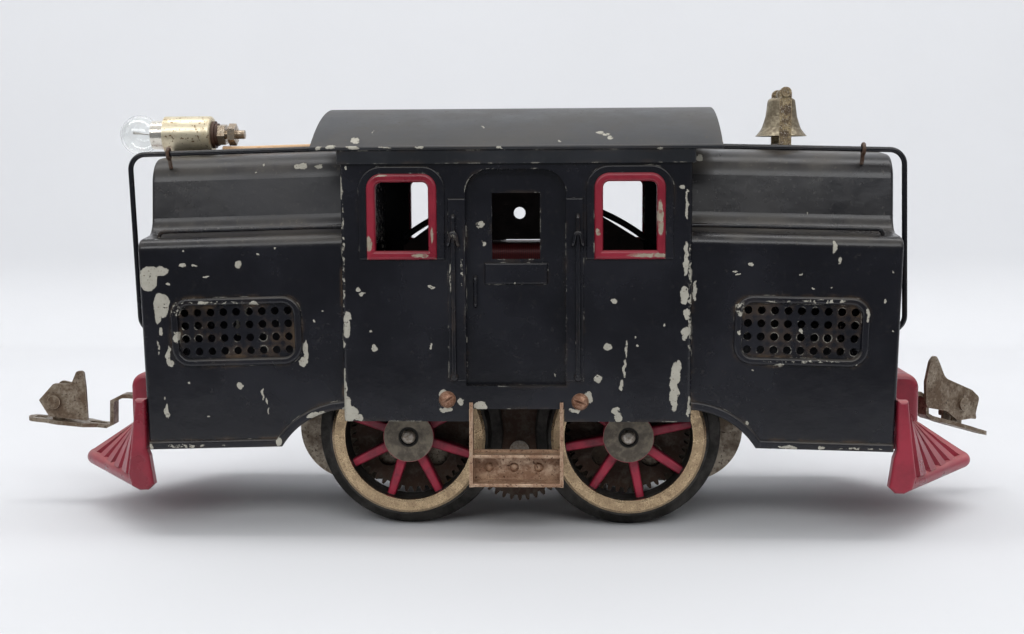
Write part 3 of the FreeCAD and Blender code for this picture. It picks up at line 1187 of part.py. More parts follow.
def rounded_slab(corners, y, normal, thickness):
    """Flat plate across Y whose outline (x, z, radius) has every corner rounded."""
    edges, ends = [], []
    count = len(corners)
    for i, (x, z, radius) in enumerate(corners):
        corner = V(x, y, z)
        before, after = [V(corners[k][0], y, corners[k][1]) - corner for k in (i - 1, (i + 1) % count)]
        before.normalize()
        after.normalize()
        half = before.getAngle(after) / 2
        reach = radius / math.tan(half)
        toward = (before + after).normalize()
        middle = corner + toward * (radius / math.sin(half) - radius)
        start, end = corner + before * reach, corner + after * reach
        edges.append(Part.Arc(start, middle, end).toShape())
        ends.append((start, end))
    for i in range(count):
        edges.append(Part.LineSegment(ends[i][1], ends[(i + 1) % count][0]).toShape())
    face = Part.Face(Part.Wire(Part.__sortEdges__(edges)))
    return face.extrude(V(*normal).normalize() * thickness)


def strip_height(line, reach):
    """Height of the coupler bar's centre line at a distance from the pivot."""
    (x0, z0), (x1, z1) = line[-2:]
    return z0 + (z1 - z0) * (reach - x0) / (x1 - x0)


def coupler_strip(line):
    """Bent strip, wider at the latch and rounded at both ends, with its pin hole and two slots."""
    upper, lower = [], []
    for i, (px, pz) in enumerate(line):
        a, b = line[max(i - 1, 0)], line[min(i + 1, len(line) - 1)]
        direction = V(b[0] - a[0], 0, b[1] - a[1]).normalize()
        normal = V(-direction.z, 0, direction.x) * 0.65
        upper.append((px + normal.x, -5.5, pz + normal.z))
        lower.append((px - normal.x, -5.5, pz - normal.z))
    strip = slab(upper + lower[::-1], (0, 1, 0), 11)
    half_plan = [(-4.0, 4.0), (10.0, 4.0), (13.5, 2.5), (24.0, 2.5),
                 (28.0, 4.6), (37.0, 4.6), (41.0, 3.2), (47.4, 3.0)]
    plan = [(x, -y, -30) for x, y in half_plan] + [(x, y, -30) for x, y in reversed(half_plan)]
    plan = slab(plan, (0, 0, 1), 60)
    ends = [e for e in plan.Edges if along(e, 2) and (e.CenterOfMass.x > 47 or e.CenterOfMass.x < -3.5)]
    bar = strip.common(plan.makeFillet(2.8, ends)).cut(cylinder(1.58, 6, (0, 0, -3), (0, 0, 1)))
    for x0, x1, half in ((21.5, 27.0, 1.0), (41.6, 45.2, 1.2)):
        bar = bar.cut(Part.makeBox(x1 - x0, 2 * half, 10, V(x0, -half, strip_height(line, x0) - 5)))
    return bar


def make_coupler(side, swing, left):
    """Bent shank with a slotted bar, a lifting latch on two ears, its rivet and the pivot pin."""
    place = coupler_frame(swing, left)
    shape = COUPLER_SHAPES[side]
    line, (rivet_x, rivet_z) = shape["line"], shape["rivet"]
    near = 1 if left else -1
    bar = coupler_strip(line)
    for y in (-2.5, 1.6):
        foot = [(rivet_x + dx, y, strip_height(line, rivet_x + dx)) for dx in (-3.0, 1.4)]
        head = [(rivet_x + dx, y, rivet_z + dz) for dx, dz in ((1.6, 1.2), (0.9, 2.1), (-0.9, 2.1), (-2.0, 1.2))]
        ear = slab(foot + head, (0, 1, 0), 0.9)
        bar = bar.fuse(ear.cut(cylinder(1.0, 8, (rivet_x, y - 2, rivet_z), (0, 1, 0))))
    solid_feature(f"coupler_{side}_shank", bar.removeSplitter(), place)

    latch = rounded_slab(shape["latch"], near * 2.9, (0, near, 0), 1.1)
    latch = latch.fuse(rounded_slab(shape["cheek"], -near * 2.9, (0, -near, 0), 1.1))
    tip, chin = shape["web"]
    inner = [(px - 1.0, pz + 0.5) for px, pz in (tip, chin)]
    web = [(px, -3.2, pz) for px, pz in [chin, tip] + inner]
    latch = latch.fuse(slab(web, (0, 1, 0), 6.4)).cut(cylinder(1.0, 12, (rivet_x, -6, rivet_z), (0, 1, 0)))
    solid_feature(f"coupler_{side}_latch", latch.removeSplitter(), place)
    rivet = cylinder(0.95, 9.2, (rivet_x, -4.6, rivet_z), (0, 1, 0))
    for y in (-5.1, 4.05):
        rivet = rivet.fuse(cylinder(2.2, 1.05, (rivet_x, y, rivet_z), (0, 1, 0)))
    solid_feature(f"coupler_{side}_rivet", rivet.removeSplitter(), place)
    pin = cylinder(1.5, 8.8, (0, 0, -4.6), (0, 0, 1)).fuse(cylinder(2.6, 0.7, (0, 0, -5.3), (0, 0, 1)))
    solid_feature(f"coupler_{side}_pin", pin.removeSplitter(), coupler_frame(0, left))


def make_field_lead():
    """Insulated lead that arches over the terminal board inside the cab."""
    arc = Part.Arc(V(-38.0, 4.0, 86.9), V(9.0, 4.0, 99.2), V(39.6, 4.0, 86.4)).toShape()
    path = Part.Wire([arc])
    start = arc.Vertexes[0].Point
    tangent = arc.tangentAt(arc.FirstParameter)
    ring = Part.Wire([Part.Circle(start, tangent, 1.0).toShape()])
    solid_feature("field_lead", path.makePipeShell([ring], True, False, 2))


# ---------------------------------------------------------------- the whole locomotive

def make_all():
    make_cab()
    make_roof()
    for row, far in (("near", False), ("far", True)):
        for side_name, side in (("left", -1), ("right", 1)):
            make_window_frame(f"window_frame_{row}_{side_name}", -side if far else side, far)
    make_hood("hood_right", droop())
    make_hood("hood_left", half_turn(droop()))
    for side_name, side, quarter in (("left", -1, 0), ("right", 1, -16)):
        make_axle("axle_" + side_name, side)
        for row, far in (("near", False), ("far", True)):
            make_wheel(f"wheel_{row}_{side_name}", side, far, quarter)
            make_rim(f"rim_{row}_{side_name}", side, far)
    make_gears()
    make_side_plates()
    make_spacers()
    make_field()
    make_armature()
    make_brush_gear()
    make_terminal_board()
    make_field_lead()
    make_mount_brackets()
    make_pickups()
    make_handrails()
    make_door_rails()
    make_cab_screws()
    make_steps()
    make_lamp()
    make_bell()
    make_pilot("pilot_right", None)
    make_pilot("pilot_left", half_turn())
    make_coupler("right", 33, False)
    make_coupler("left", 0, True)
    for name, members in GROUPS.items():
        group(name, members)


def on_each(stem):
    return [f"{stem}_{row}_{side}" for row in ("near", "far") for side in ("left", "right")]


GROUPS = {
    "window_frames": on_each("window_frame"),
    "door_rails": on_each("door_rail"),
    "door_handles": ["door_handle_near", "door_handle_far"],
    "handrails": on_each("handrail"),
    "side_rods": on_each("side_rod"),
    "stanchions": ["stanchions_left", "stanchions_right"],
    "step_rivets": ["step_rivets_near", "step_rivets_far"],
    "rims_left": ["rim_near_left", "rim_far_left"],
    "rims_right": ["rim_near_right", "rim_far_right"],
    "motor_spacer_set": ["motor_spacers", "idler_stud"],
    "mount_brackets": ["mount_bracket_near", "mount_bracket_far"],
    "brush_holder": ["brush_yoke", "brush_tubes"],
    "pickup_base": ["pickup_plate", "pickup_hanger_left", "pickup_hanger_right"],
    "armature_spindle": ["armature_shaft", "pinion"],
    "lamp_nuts": ["lamp_nut_pair", "lamp_stud"],
    "bell_bracket": ["bell_bow", "bell_base", "bell_pin"],
    "coupler_left_bar": ["coupler_left_shank", "coupler_left_rivet"],
    "coupler_right_bar": ["coupler_right_shank", "coupler_right_rivet"],
    "coupler_pins": ["coupler_left_pin", "coupler_right_pin"],
}


def export_parts():
    """Check every feature, then write one STEP file for each sub-part."""
    doc.recompute()
    faults = [o.Label for o in doc.Objects if "Invalid" in o.State or "Error" in o.State]
    if faults:
        raise SystemExit("features that failed: " + ", ".join(faults))
    for name, piece in PIECES.items():
        if piece.Shape.isNull() or not piece.Shape.isValid():
            raise SystemExit("bad shape: " + name)
    for name, piece in PIECES.items():
        piece.Shape.exportStep(f"parts/{name}.step")
    print(len(PIECES), "parts written")


make_all()
export_parts()
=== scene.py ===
import math

import bmesh
import bpy
from mathutils import Matrix, Vector


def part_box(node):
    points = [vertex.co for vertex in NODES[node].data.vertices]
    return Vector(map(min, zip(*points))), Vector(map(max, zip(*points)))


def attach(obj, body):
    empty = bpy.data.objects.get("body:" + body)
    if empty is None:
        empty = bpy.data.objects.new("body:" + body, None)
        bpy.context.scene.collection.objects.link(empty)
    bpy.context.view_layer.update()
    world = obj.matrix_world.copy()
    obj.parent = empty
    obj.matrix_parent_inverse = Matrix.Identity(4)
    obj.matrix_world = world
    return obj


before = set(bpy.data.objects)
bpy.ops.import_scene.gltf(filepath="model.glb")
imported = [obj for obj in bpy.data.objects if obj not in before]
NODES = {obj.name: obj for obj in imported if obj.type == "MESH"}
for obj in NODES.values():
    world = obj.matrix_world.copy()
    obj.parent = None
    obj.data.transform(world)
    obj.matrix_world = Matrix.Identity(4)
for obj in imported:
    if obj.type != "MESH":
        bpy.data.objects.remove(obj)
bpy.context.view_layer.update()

EDGE = 0.0006


# ---------------------------------------------------------------- shader helper

class Shader:
    """One procedural material. Every method adds a node and gives back its output."""

    def __init__(self, name):
        self.material = bpy.data.materials.new(name)
        self.material.use_nodes = True
        self.tree = self.material.node_tree
        self.surface = self.tree.nodes["Principled BSDF"]
        texture = self.tree.nodes.new("ShaderNodeTexCoord")
        self.place = texture.outputs["Object"]
        self.normal = texture.outputs["Normal"]
        self.geometry = self.tree.nodes.new("ShaderNodeNewGeometry")

    def feed(self, socket, value):
        if isinstance(value, bpy.types.NodeSocket):
            self.tree.links.new(value, socket)
        else:
            socket.default_value = value

    def math(self, operation, *values, clamp=False):
        node = self.tree.nodes.new("ShaderNodeMath")
        node.operation = operation
        node.use_clamp = clamp
        for socket, value in zip(node.inputs, values):
            self.feed(socket, value)
        return node.outputs[0]

    def vector(self, operation, *values):
        node = self.tree.nodes.new("ShaderNodeVectorMath")
        node.operation = operation
        for socket, value in zip(node.inputs, values):
            self.feed(socket, value)
        return node.outputs["Value" if operation in ("LENGTH", "DOT_PRODUCT") else "Vector"]

    def split(self, vector):
        node = self.tree.nodes.new("ShaderNodeSeparateXYZ")
        self.feed(node.inputs[0], vector)
        return node.outputs[0], node.outputs[1], node.outputs[2]

    def join(self, x, y, z):
        node = self.tree.nodes.new("ShaderNodeCombineXYZ")
        for socket, value in zip(node.inputs, (x, y, z)):
            self.feed(socket, value)
        return node.outputs[0]

    def noise(self, scale, detail=4.0, rough=0.55, stretch=(1, 1, 1), shift=(0, 0, 0), colour=False):
        node = self.tree.nodes.new("ShaderNodeTexNoise")
        place = self.vector("MULTIPLY_ADD", self.place, stretch, shift)
        self.feed(node.inputs["Vector"], place)
        node.inputs["Scale"].default_value = scale
        node.inputs["Detail"].default_value = detail
        node.inputs["Roughness"].default_value = rough
        return node.outputs["Color" if colour else "Fac"]

    def cells(self, scale, output="Distance"):
        node = self.tree.nodes.new("ShaderNodeTexVoronoi")
        self.feed(node.inputs["Vector"], self.place)
        node.inputs["Scale"].default_value = scale
        return node.outputs[output]

    def ramp(self, value, low, high, to_low=0.0, to_high=1.0):
        """Smooth change from to_low to to_high while value goes from low to high."""
        node = self.tree.nodes.new("ShaderNodeMapRange")
        node.interpolation_type = "SMOOTHSTEP"
        for key, number in (("Value", value), ("From Min", low), ("From Max", high),
                            ("To Min", to_low), ("To Max", to_high)):
            self.feed(node.inputs[key], number)
        return node.outputs[0]

    def mix(self, amount, first, second):
        node = self.tree.nodes.new("ShaderNodeMix")
        node.data_type = "RGBA"
        self.feed(node.inputs[0], amount)
        for socket, value in ((node.inputs[6], first), (node.inputs[7], second)):
            if isinstance(value, tuple) and len(value) == 3:
                value = (*value, 1.0)
            self.feed(socket, value)
        return node.outputs[2]

    def edges(self, radius=EDGE, low=0.80, high=0.97):
        """1 along sharp outside and inside edges, 0 on open surfaces."""
        bevel = self.tree.nodes.new("ShaderNodeBevel")
        bevel.samples = 4
        bevel.inputs["Radius"].default_value = radius
        turn = self.vector("DOT_PRODUCT", bevel.outputs[0], self.geometry.outputs["Normal"])
        return self.ramp(turn, low, high, 1.0, 0.0)

    def bump(self, height, distance, strength=1.0, under=None):
        node = self.tree.nodes.new("ShaderNodeBump")
        node.inputs["Strength"].default_value = strength
        node.inputs["Distance"].default_value = distance
        self.feed(node.inputs["Height"], height)
        if under is not None:
            self.feed(node.inputs["Normal"], under)
        return node.outputs[0]

    def near(self, spots, reach):
        """Smallest relative distance to a list of upright ellipses (x, z, half width, half height) in mm."""
        warp = self.vector("SUBTRACT", self.noise(420.0, 3.0, 0.6, colour=True), (0.5, 0.5, 0.5))
        place = self.vector("MULTIPLY_ADD", warp, (reach, reach, reach), self.place)
        x, _, z = self.split(place)
        flat = self.join(x, 0.0, z)
        best = None
        for px, pz, rx, rz in spots:
            scale = (1000.0 / rx, 0.0, 1000.0 / rz)
            offset = (-px / rx, 0.0, -pz / rz)
            one = self.vector("LENGTH", self.vector("MULTIPLY_ADD", flat, scale, offset))
            best = one if best is None else self.math("MINIMUM", best, one)
        return best

    def finish(self, colour, rough, metallic=0.0, normal=None, specular=0.5):
        sockets = self.surface.inputs
        self.feed(sockets["Base Color"], (*colour, 1.0) if isinstance(colour, tuple) else colour)
        self.feed(sockets["Roughness"], rough)
        self.feed(sockets["Metallic"], metallic)
        sockets["Specular IOR Level"].default_value = specular
        if normal is not None:
            self.feed(sockets["Normal"], normal)
        return self.material


def clothe(material, *nodes):
    """Gives a CAD node its material."""
    for name in nodes:
        mesh = NODES[name].data
        mesh.materials.clear()
        mesh.materials.append(material)


# ---------------------------------------------------------------- paint chips
# Upright ellipses in mm: x, z, half width, half height. They reach right through the object along Y.
# A scratch script made these lists from places read by eye off the photograph: see item 1 of report.md.

HOOD_LEFT_CHIPS = [
    (-106.5, 79.1, 4.3, 1.6), (-108.5, 76.5, 2.6, 3.7), (-104.6, 69.1, 2.4, 3.7),
    (-105.8, 66.1, 1.0, 2.4), (-105.2, 61.4, 0.6, 1.5), (-98.3, 80.7, 1.0, 0.5), (-94.8, 80.5, 0.9, 0.4),
    (-81.4, 81.1, 1.3, 1.2), (-102.6, 75.4, 0.6, 0.4), (-91.0, 77.3, 0.9, 0.3), (-103.2, 53.9, 0.7, 3.3),
    (-102.2, 51.6, 0.9, 1.0), (-62.0, 55.0, 0.7, 3.6), (-63.1, 52.0, 1.2, 1.2), (-100.2, 59.7, 1.0, 1.6),
    (-98.2, 62.4, 0.9, 0.7), (-77.1, 69.6, 1.5, 0.8), (-81.9, 45.0, 1.2, 1.2), (-75.0, 42.6, 0.3, 1.9),
    (-73.8, 40.5, 0.3, 0.9), (-73.6, 37.5, 0.3, 0.9), (-104.1, 37.4, 0.7, 2.1), (-104.4, 41.6, 0.3, 0.6),
    (-109.0, 27.0, 0.9, 0.8), (-70.5, 28.5, 0.9, 1.5), (-57.4, 36.3, 4.8, 1.0), (-50.6, 37.9, 1.2, 1.2),
    (-66.2, 109.6, 2.1, 0.9), (-60.7, 109.6, 1.2, 0.6), (-51.3, 103.3, 0.8, 3.2),
    (-80.0, 107.8, 0.4, 0.3), (-77.6, 109.9, 0.3, 0.3), (-97.6, 85.1, 0.3, 0.3), (-75.6, 83.9, 0.4, 0.3),
    (-70.4, 86.1, 0.3, 0.3), (-59.5, 64.4, 0.4, 0.3), (-56.9, 67.1, 0.3, 0.3), (-91.6, 35.7, 0.3, 0.3),
    (-97.2, 45.8, 0.3, 0.3),
]
HOOD_LEFT_WORN = [
    (-88.6, 69.8, 12.5, 0.4), (-98.8, 27.0, 7.2, 0.5), (-87.2, 27.4, 1.5, 0.3), (-100.4, 67.6, 1.8, 1.8),
    (-106.1, 57.2, 0.4, 3.0),
]
CAB_CHIPS = [
    (-49.3, 63.3, 1.2, 4.1), (-50.9, 57.3, 0.6, 1.2), (-50.4, 43.0, 0.7, 7.7), (-48.7, 37.0, 2.4, 2.4),
    (-47.2, 35.8, 2.7, 1.0), (-50.1, 40.0, 1.5, 2.4), (-50.9, 103.2, 0.8, 3.5), (-46.0, 73.9, 0.7, 0.6),
    (-44.8, 72.7, 0.8, 0.6), (-41.6, 56.6, 1.0, 1.0), (-42.4, 61.4, 0.4, 0.4), (-24.8, 74.5, 1.2, 0.5),
    (-24.8, 56.9, 0.3, 1.3), (-10.5, 92.3, 1.2, 1.2), (-9.5, 86.8, 0.5, 0.9), (-21.7, 43.4, 1.3, 1.3),
    (-16.5, 40.8, 0.7, 1.3), (-20.6, 38.3, 1.8, 0.8), (-10.5, 39.5, 1.6, 1.3), (21.0, 42.2, 1.3, 1.8),
    (17.1, 38.1, 1.7, 0.5), (26.7, 56.9, 1.2, 1.2), (23.8, 47.6, 1.3, 1.2), (32.0, 56.0, 0.3, 2.6),
    (31.4, 50.8, 0.5, 2.7), (30.4, 45.7, 0.6, 1.9), (28.3, 70.1, 0.7, 1.0), (34.6, 59.5, 0.4, 0.4),
    (34.9, 57.2, 0.4, 0.4), (42.9, 63.7, 0.4, 0.4), (28.7, 38.1, 1.0, 1.3), (29.7, 36.3, 1.2, 1.3),
    (47.7, 103.0, 0.9, 0.6), (49.1, 98.0, 0.5, 4.2), (49.0, 82.4, 0.7, 5.0), (48.6, 71.8, 1.4, 2.5),
    (49.4, 66.3, 1.0, 1.7), (49.0, 60.7, 1.1, 2.1), (45.8, 45.2, 1.2, 7.5), (46.8, 49.6, 0.9, 3.5),
    (50.1, 39.6, 0.5, 3.4), (-49.1, 109.0, 0.5, 0.5), (11.0, 48.2, 0.3, 0.5), (-0.8, 75.2, 0.3, 0.3),
]
CAB_WORN = [
    (-15.7, 80.0, 0.3, 6.4), (-18.9, 76.6, 0.3, 4.7), (17.8, 58.9, 0.3, 8.7), (18.3, 77.8, 0.3, 3.5),
    (50.2, 70.5, 0.6, 17.2), (-50.2, 82.3, 0.4, 17.6),
]
HOOD_RIGHT_CHIPS = [
    (51.8, 73.2, 0.6, 2.9), (91.5, 85.4, 0.7, 2.0), (92.9, 81.8, 0.4, 0.9), (63.1, 78.3, 0.9, 0.3),
    (64.1, 77.4, 0.7, 0.3), (67.7, 80.4, 0.7, 0.6), (106.2, 70.3, 0.4, 0.6), (101.3, 65.9, 0.5, 2.1),
    (76.1, 51.4, 1.4, 0.3), (98.3, 51.4, 0.3, 0.3), (67.3, 34.3, 0.5, 0.6), (79.0, 27.2, 2.9, 0.5),
    (88.7, 27.0, 1.2, 0.5), (86.3, 95.1, 0.3, 0.3), (54.6, 111.4, 1.3, 0.9), (108.4, 61.6, 0.3, 0.3),
    (82.1, 77.9, 0.3, 0.3), (85.6, 73.5, 0.3, 0.3), (90.5, 73.7, 0.3, 0.3), (108.3, 78.3, 0.3, 0.3),
    (68.7, 49.6, 0.3, 0.3), (82.4, 61.3, 0.6, 0.6), (64.3, 61.0, 0.6, 0.6),
]
HOOD_RIGHT_WORN = [
    (89.1, 70.0, 7.7, 0.5), (99.9, 27.0, 6.9, 0.3), (64.8, 68.0, 1.4, 2.3), (76.2, 70.0, 4.0, 0.3),
    (81.9, 52.5, 11.5, 0.3),
]
FRAME_CHIPS = [
    (-42.4, 87.0, 0.9, 2.3), (-27.5, 83.7, 2.6, 0.6), (41.6, 94.3, 0.9, 5.1), (38.6, 83.6, 6.9, 0.6),
    (23.7, 90.2, 0.6, 1.1), (-24.1, 89.5, 0.4, 2.3), (-38.6, 106.5, 1.7, 0.3),
]
ROOF_CHIPS = [
    (-46.7, 116.9, 1.4, 0.8), (24.3, 118.9, 1.1, 0.5), (26.0, 118.2, 1.1, 0.5), (27.4, 117.3, 0.9, 0.4),
    (-46.7, 114.7, 2.3, 0.5), (-37.2, 114.6, 1.7, 0.3), (-27.2, 114.6, 1.4, 0.3),
    (-4.2, 114.4, 0.9, 0.3), (41.3, 114.0, 0.8, 0.3), (-53.1, 115.0, 1.4, 0.4), (-56.6, 114.6, 1.2, 0.4),
    (54.0, 111.5, 1.1, 0.8), (-42.0, 119.1, 0.3, 0.3), (-9.9, 120.8, 0.3, 0.3), (12.9, 116.2, 0.4, 0.3),
]


# ---------------------------------------------------------------- painted sheet

def dust_and_top_light(s, dust_and_top_light_amount):
    """Dust on the faces turned up, thick in streaks, with a few specks on the upright faces. The lightening
    of the upturned faces is partly a painted highlight that stands in for the sheen of the light from above.
    """
    _, _, up = s.split(s.normal)
    # painted highlight: faces turned up are lightened as if lit from above, together with the real dust
    upturned_dust_and_light = s.ramp(up, 0.02, 0.55)
    streak = s.noise(60.0, 4.0, 0.6, stretch=(1.0, 1.0, 0.25), shift=(0.3, 0.1, 0.2))
    lying_dust_and_light = s.math("MULTIPLY", upturned_dust_and_light, s.ramp(streak, 0.34, 0.66, 0.20, 1.0))
    lying_dust_and_light = s.math("MULTIPLY", lying_dust_and_light, dust_and_top_light_amount)
    speck = s.math("MULTIPLY", s.ramp(s.noise(700.0, 3.0, 0.6), 0.60, 0.70), 0.35)
    return s.math("ADD", lying_dust_and_light, s.math("MULTIPLY", speck, s.ramp(upturned_dust_and_light, 0.0, 1.0, 0.22, 1.0)), clamp=True)


def paint_lost(s, chips, worn):
    """Where the black has gone: rubbed edges, stray flecks, the listed chips and the thinly worn patches."""
    rub = s.math("MULTIPLY", s.edges(EDGE), s.ramp(s.noise(210.0, 4.0, 0.7), 0.55, 0.63))
    few = s.ramp(s.split(s.cells(75.0, output="Color"))[0], 0.94, 0.95)
    fleck = s.math("MULTIPLY", s.ramp(s.cells(75.0), 0.03, 0.06, 1.0, 0.0), few)
    fleck = s.math("MULTIPLY", fleck, s.ramp(s.noise(900.0, 2.0), 0.42, 0.5))
    bare = s.math("MAXIMUM", rub, fleck)
    if chips:
        chip = s.ramp(s.near(chips, 0.0026), 0.93, 1.01, 1.0, 0.0)
        left_in = s.ramp(s.noise(430.0, 4.0, 0.75, shift=(0.2, 0.6, 0.1)), 0.33, 0.37)
        bare = s.math("MAXIMUM", bare, s.math("MULTIPLY", chip, left_in))
    if worn:
        thin = s.math("MULTIPLY", s.ramp(s.near(worn, 0.0014), 0.85, 1.05, 1.0, 0.0),
                      s.ramp(s.noise(520.0, 4.0, 0.7), 0.50, 0.56))
        bare = s.math("MAXIMUM", bare, thin)
    return bare


def undercoat(s):
    """Cream undercoat with brown spots."""
    cream = s.mix(s.noise(330.0, 4.0, 0.7), (0.25, 0.235, 0.19), (0.51, 0.485, 0.415))
    return s.mix(s.ramp(s.noise(1500.0, 2.0), 0.62, 0.7), cream, (0.10, 0.075, 0.05))


def enamel(name, chips=(), worn=(), dust_and_top_light_amount=0.0, grime=0.35, base=(0.0036, 0.0037, 0.0062), gloss=0.24):
    """Old black enamel: wavy gloss, dust that is partly a painted highlight on the upturned faces, brown
    soil in the corners, chips down to a cream undercoat.
    """
    s = Shader(name)
    cloud = s.noise(26.0, 5.0, 0.6)
    tone = s.mix(s.ramp(cloud, 0.35, 0.7), base, tuple(c * 1.8 + 0.0012 for c in base))
    dust_and_top_light_mask = dust_and_top_light(s, dust_and_top_light_amount)
    # grey-brown dust colour, which on the upturned faces also acts as a painted highlight
    tone = s.mix(dust_and_top_light_mask, tone, s.mix(cloud, (0.060, 0.052, 0.042), (0.130, 0.112, 0.088)))
    patch = s.noise(95.0, 5.0, 0.65, shift=(0.7, 0.2, 0.4))
    soil = s.math("MULTIPLY", s.edges(0.0022, 0.55, 0.97), s.ramp(patch, 0.46, 0.66))
    soil = s.math("MULTIPLY", soil, grime)
    tone = s.mix(soil, tone, (0.100, 0.064, 0.036))
    bare = paint_lost(s, chips, worn)
    colour = s.mix(bare, tone, undercoat(s))
    sheen = s.ramp(cloud, 0.3, 0.75, gloss - 0.05, gloss + 0.10)
    rough = s.math("ADD", sheen, s.math("MULTIPLY", dust_and_top_light_mask, 0.42))
    rough = s.math("ADD", rough, s.math("MULTIPLY", bare, 0.35), clamp=True)
    wave = s.bump(s.noise(34.0, 3.0, 0.5), 0.0010, 0.35)
    wave = s.bump(s.noise(240.0, 4.0, 0.6), 0.00010, 0.5, wave)
    wave = s.bump(s.math("SUBTRACT", 1.0, bare), 0.00016, 0.9, wave)
    return s.finish(colour, rough, 0.0, wave, specular=0.42)


def red_enamel(name, chips=(), pink=0.0, base=(0.27, 0.009, 0.026)):
    """Crimson enamel, faded on top and rubbed to cream and brown along its edges."""
    s = Shader(name)
    _, _, up = s.split(s.normal)
    cloud = s.noise(60.0, 5.0, 0.65)
    tone = s.mix(s.ramp(cloud, 0.35, 0.70), tuple(c * 0.62 for c in base), base)
    chalk = s.math("MULTIPLY", s.ramp(up, 0.25, 0.95), s.ramp(s.noise(110.0, 4.0), 0.30, 0.65, 0.4, 1.0))
    tone = s.mix(s.math("MULTIPLY", chalk, pink), tone, (0.44, 0.135, 0.135))
    inside = s.ramp(s.edges(0.0016, 0.6, 0.98), 0.1, 0.9)
    dirt = s.math("MULTIPLY", inside, s.ramp(s.noise(150.0, 4.0, 0.7, shift=(0.5, 0.5, 0)), 0.47, 0.62))
    tone = s.mix(s.math("MULTIPLY", dirt, 0.55), tone, (0.050, 0.020, 0.016))
    rub = s.math("MULTIPLY", s.edges(0.0007), s.ramp(s.noise(300.0, 4.0, 0.7), 0.55, 0.63))
    bare = rub
    if chips:
        bare = s.math("MAXIMUM", bare, s.math("MULTIPLY", s.ramp(s.near(chips, 0.0016), 0.9, 1.05, 1.0, 0.0),
                                              s.ramp(s.noise(600.0, 3.0), 0.40, 0.50, 0.35, 1.0)))
    metal = s.mix(s.noise(420.0, 3.0), (0.17, 0.12, 0.075), (0.46, 0.42, 0.33))
    colour = s.mix(bare, tone, metal)
    rough = s.math("ADD", s.ramp(cloud, 0.3, 0.7, 0.24, 0.42), s.math("MULTIPLY", chalk, 0.25), clamp=True)
    normal = s.bump(s.noise(170.0, 4.0, 0.6), 0.00022, 0.6)
    normal = s.bump(s.math("SUBTRACT", 1.0, bare), 0.00014, 0.8, normal)
    return s.finish(colour, rough, 0.0, normal)


def old_metal(name, clean, dark, spread=0.5, scale=160.0, rough=(0.30, 0.55), metallic=0.85, pit=0.00008,
              speck=None, stretch=(1, 1, 1)):
    """Tarnished bare metal with blotches, specks and fine pits, brighter where edges rub."""
    s = Shader(name)
    blotch = s.noise(scale, 6.0, 0.68, stretch=stretch)
    fine = s.noise(scale * 6.0, 3.0, 0.6, stretch=stretch)
    amount = s.math("MULTIPLY_ADD", fine, 0.35, s.math("MULTIPLY", blotch, 0.75))
    amount = s.ramp(amount, spread - 0.12, spread + 0.14)
    colour = s.mix(amount, clean, dark)
    if speck is not None:
        colour = s.mix(s.ramp(s.noise(scale * 9.0, 2.0), 0.60, 0.68), colour, speck)
    rub = s.math("MULTIPLY", s.edges(0.0005), s.ramp(s.noise(scale * 2.0, 3.0), 0.40, 0.60))
    colour = s.mix(s.math("MULTIPLY", rub, 0.6), colour, tuple(min(1.0, c * 1.5 + 0.03) for c in clean))
    shine = s.ramp(amount, 0.0, 1.0, rough[0], rough[1])
    normal = s.bump(fine, pit, 0.8)
    normal = s.bump(blotch, pit * 2.5, 0.5, normal)
    return s.finish(colour, shine, s.ramp(amount, 0.0, 1.0, metallic, metallic * 0.55), normal)


def wheel_finish():
    """Wheel casting: red spokes and inner face, with the red darkened towards the inner face as painted
    shade behind the spokes, tarnished hub disc and a dark steel tread.
    """
    s = Shader("wheel_finish")
    x, y, z = s.split(s.place)
    across = s.math("SUBTRACT", s.math("ABSOLUTE", x), 0.0331)
    height = s.math("SUBTRACT", z, 0.0282)
    radius = s.vector("LENGTH", s.join(across, 0.0, height))
    cloud = s.noise(130.0, 5.0, 0.65)
    fine = s.noise(900.0, 3.0, 0.6)
    red = s.mix(s.ramp(cloud, 0.32, 0.66), (0.16, 0.007, 0.022), (0.42, 0.014, 0.048))
    depth = s.math("ABSOLUTE", y)
    # painted shade: the red goes nearly black deeper into the wheel, behind the spokes
    shade_behind_spokes = s.ramp(depth, 0.0290, 0.0318, 0.80, 0.0)
    red = s.mix(shade_behind_spokes, red, (0.020, 0.004, 0.006))
    red = s.mix(s.math("MULTIPLY", s.edges(0.0006), s.ramp(cloud, 0.5, 0.6)), red, (0.36, 0.19, 0.15))
    hub = s.mix(s.ramp(s.noise(260.0, 5.0, 0.7), 0.38, 0.62), (0.17, 0.145, 0.11), (0.085, 0.072, 0.058))
    ring = s.math("ABSOLUTE", s.math("SUBTRACT", radius, 0.0026))
    hub = s.mix(s.ramp(ring, 0.0003, 0.0006, 1.0, 0.0), hub, (0.008, 0.007, 0.006))
    steel = s.mix(s.ramp(cloud, 0.35, 0.65), (0.070, 0.065, 0.060), (0.026, 0.024, 0.022))
    is_hub = s.ramp(radius, 0.0074, 0.0076, 1.0, 0.0)
    is_tread = s.ramp(radius, 0.01900, 0.01910)
    colour = s.mix(is_hub, red, hub)
    colour = s.mix(is_tread, colour, steel)
    metal = s.math("MAXIMUM", s.math("MULTIPLY", is_hub, 0.7), s.math("MULTIPLY", is_tread, 0.8))
    rough = s.math("ADD", s.ramp(fine, 0.3, 0.7, 0.30, 0.48), s.math("MULTIPLY", shade_behind_spokes, 0.3), clamp=True)
    normal = s.bump(fine, 0.00007, 0.7)
    normal = s.bump(cloud, 0.00018, 0.5, normal)
    return s.finish(colour, rough, metal, normal)


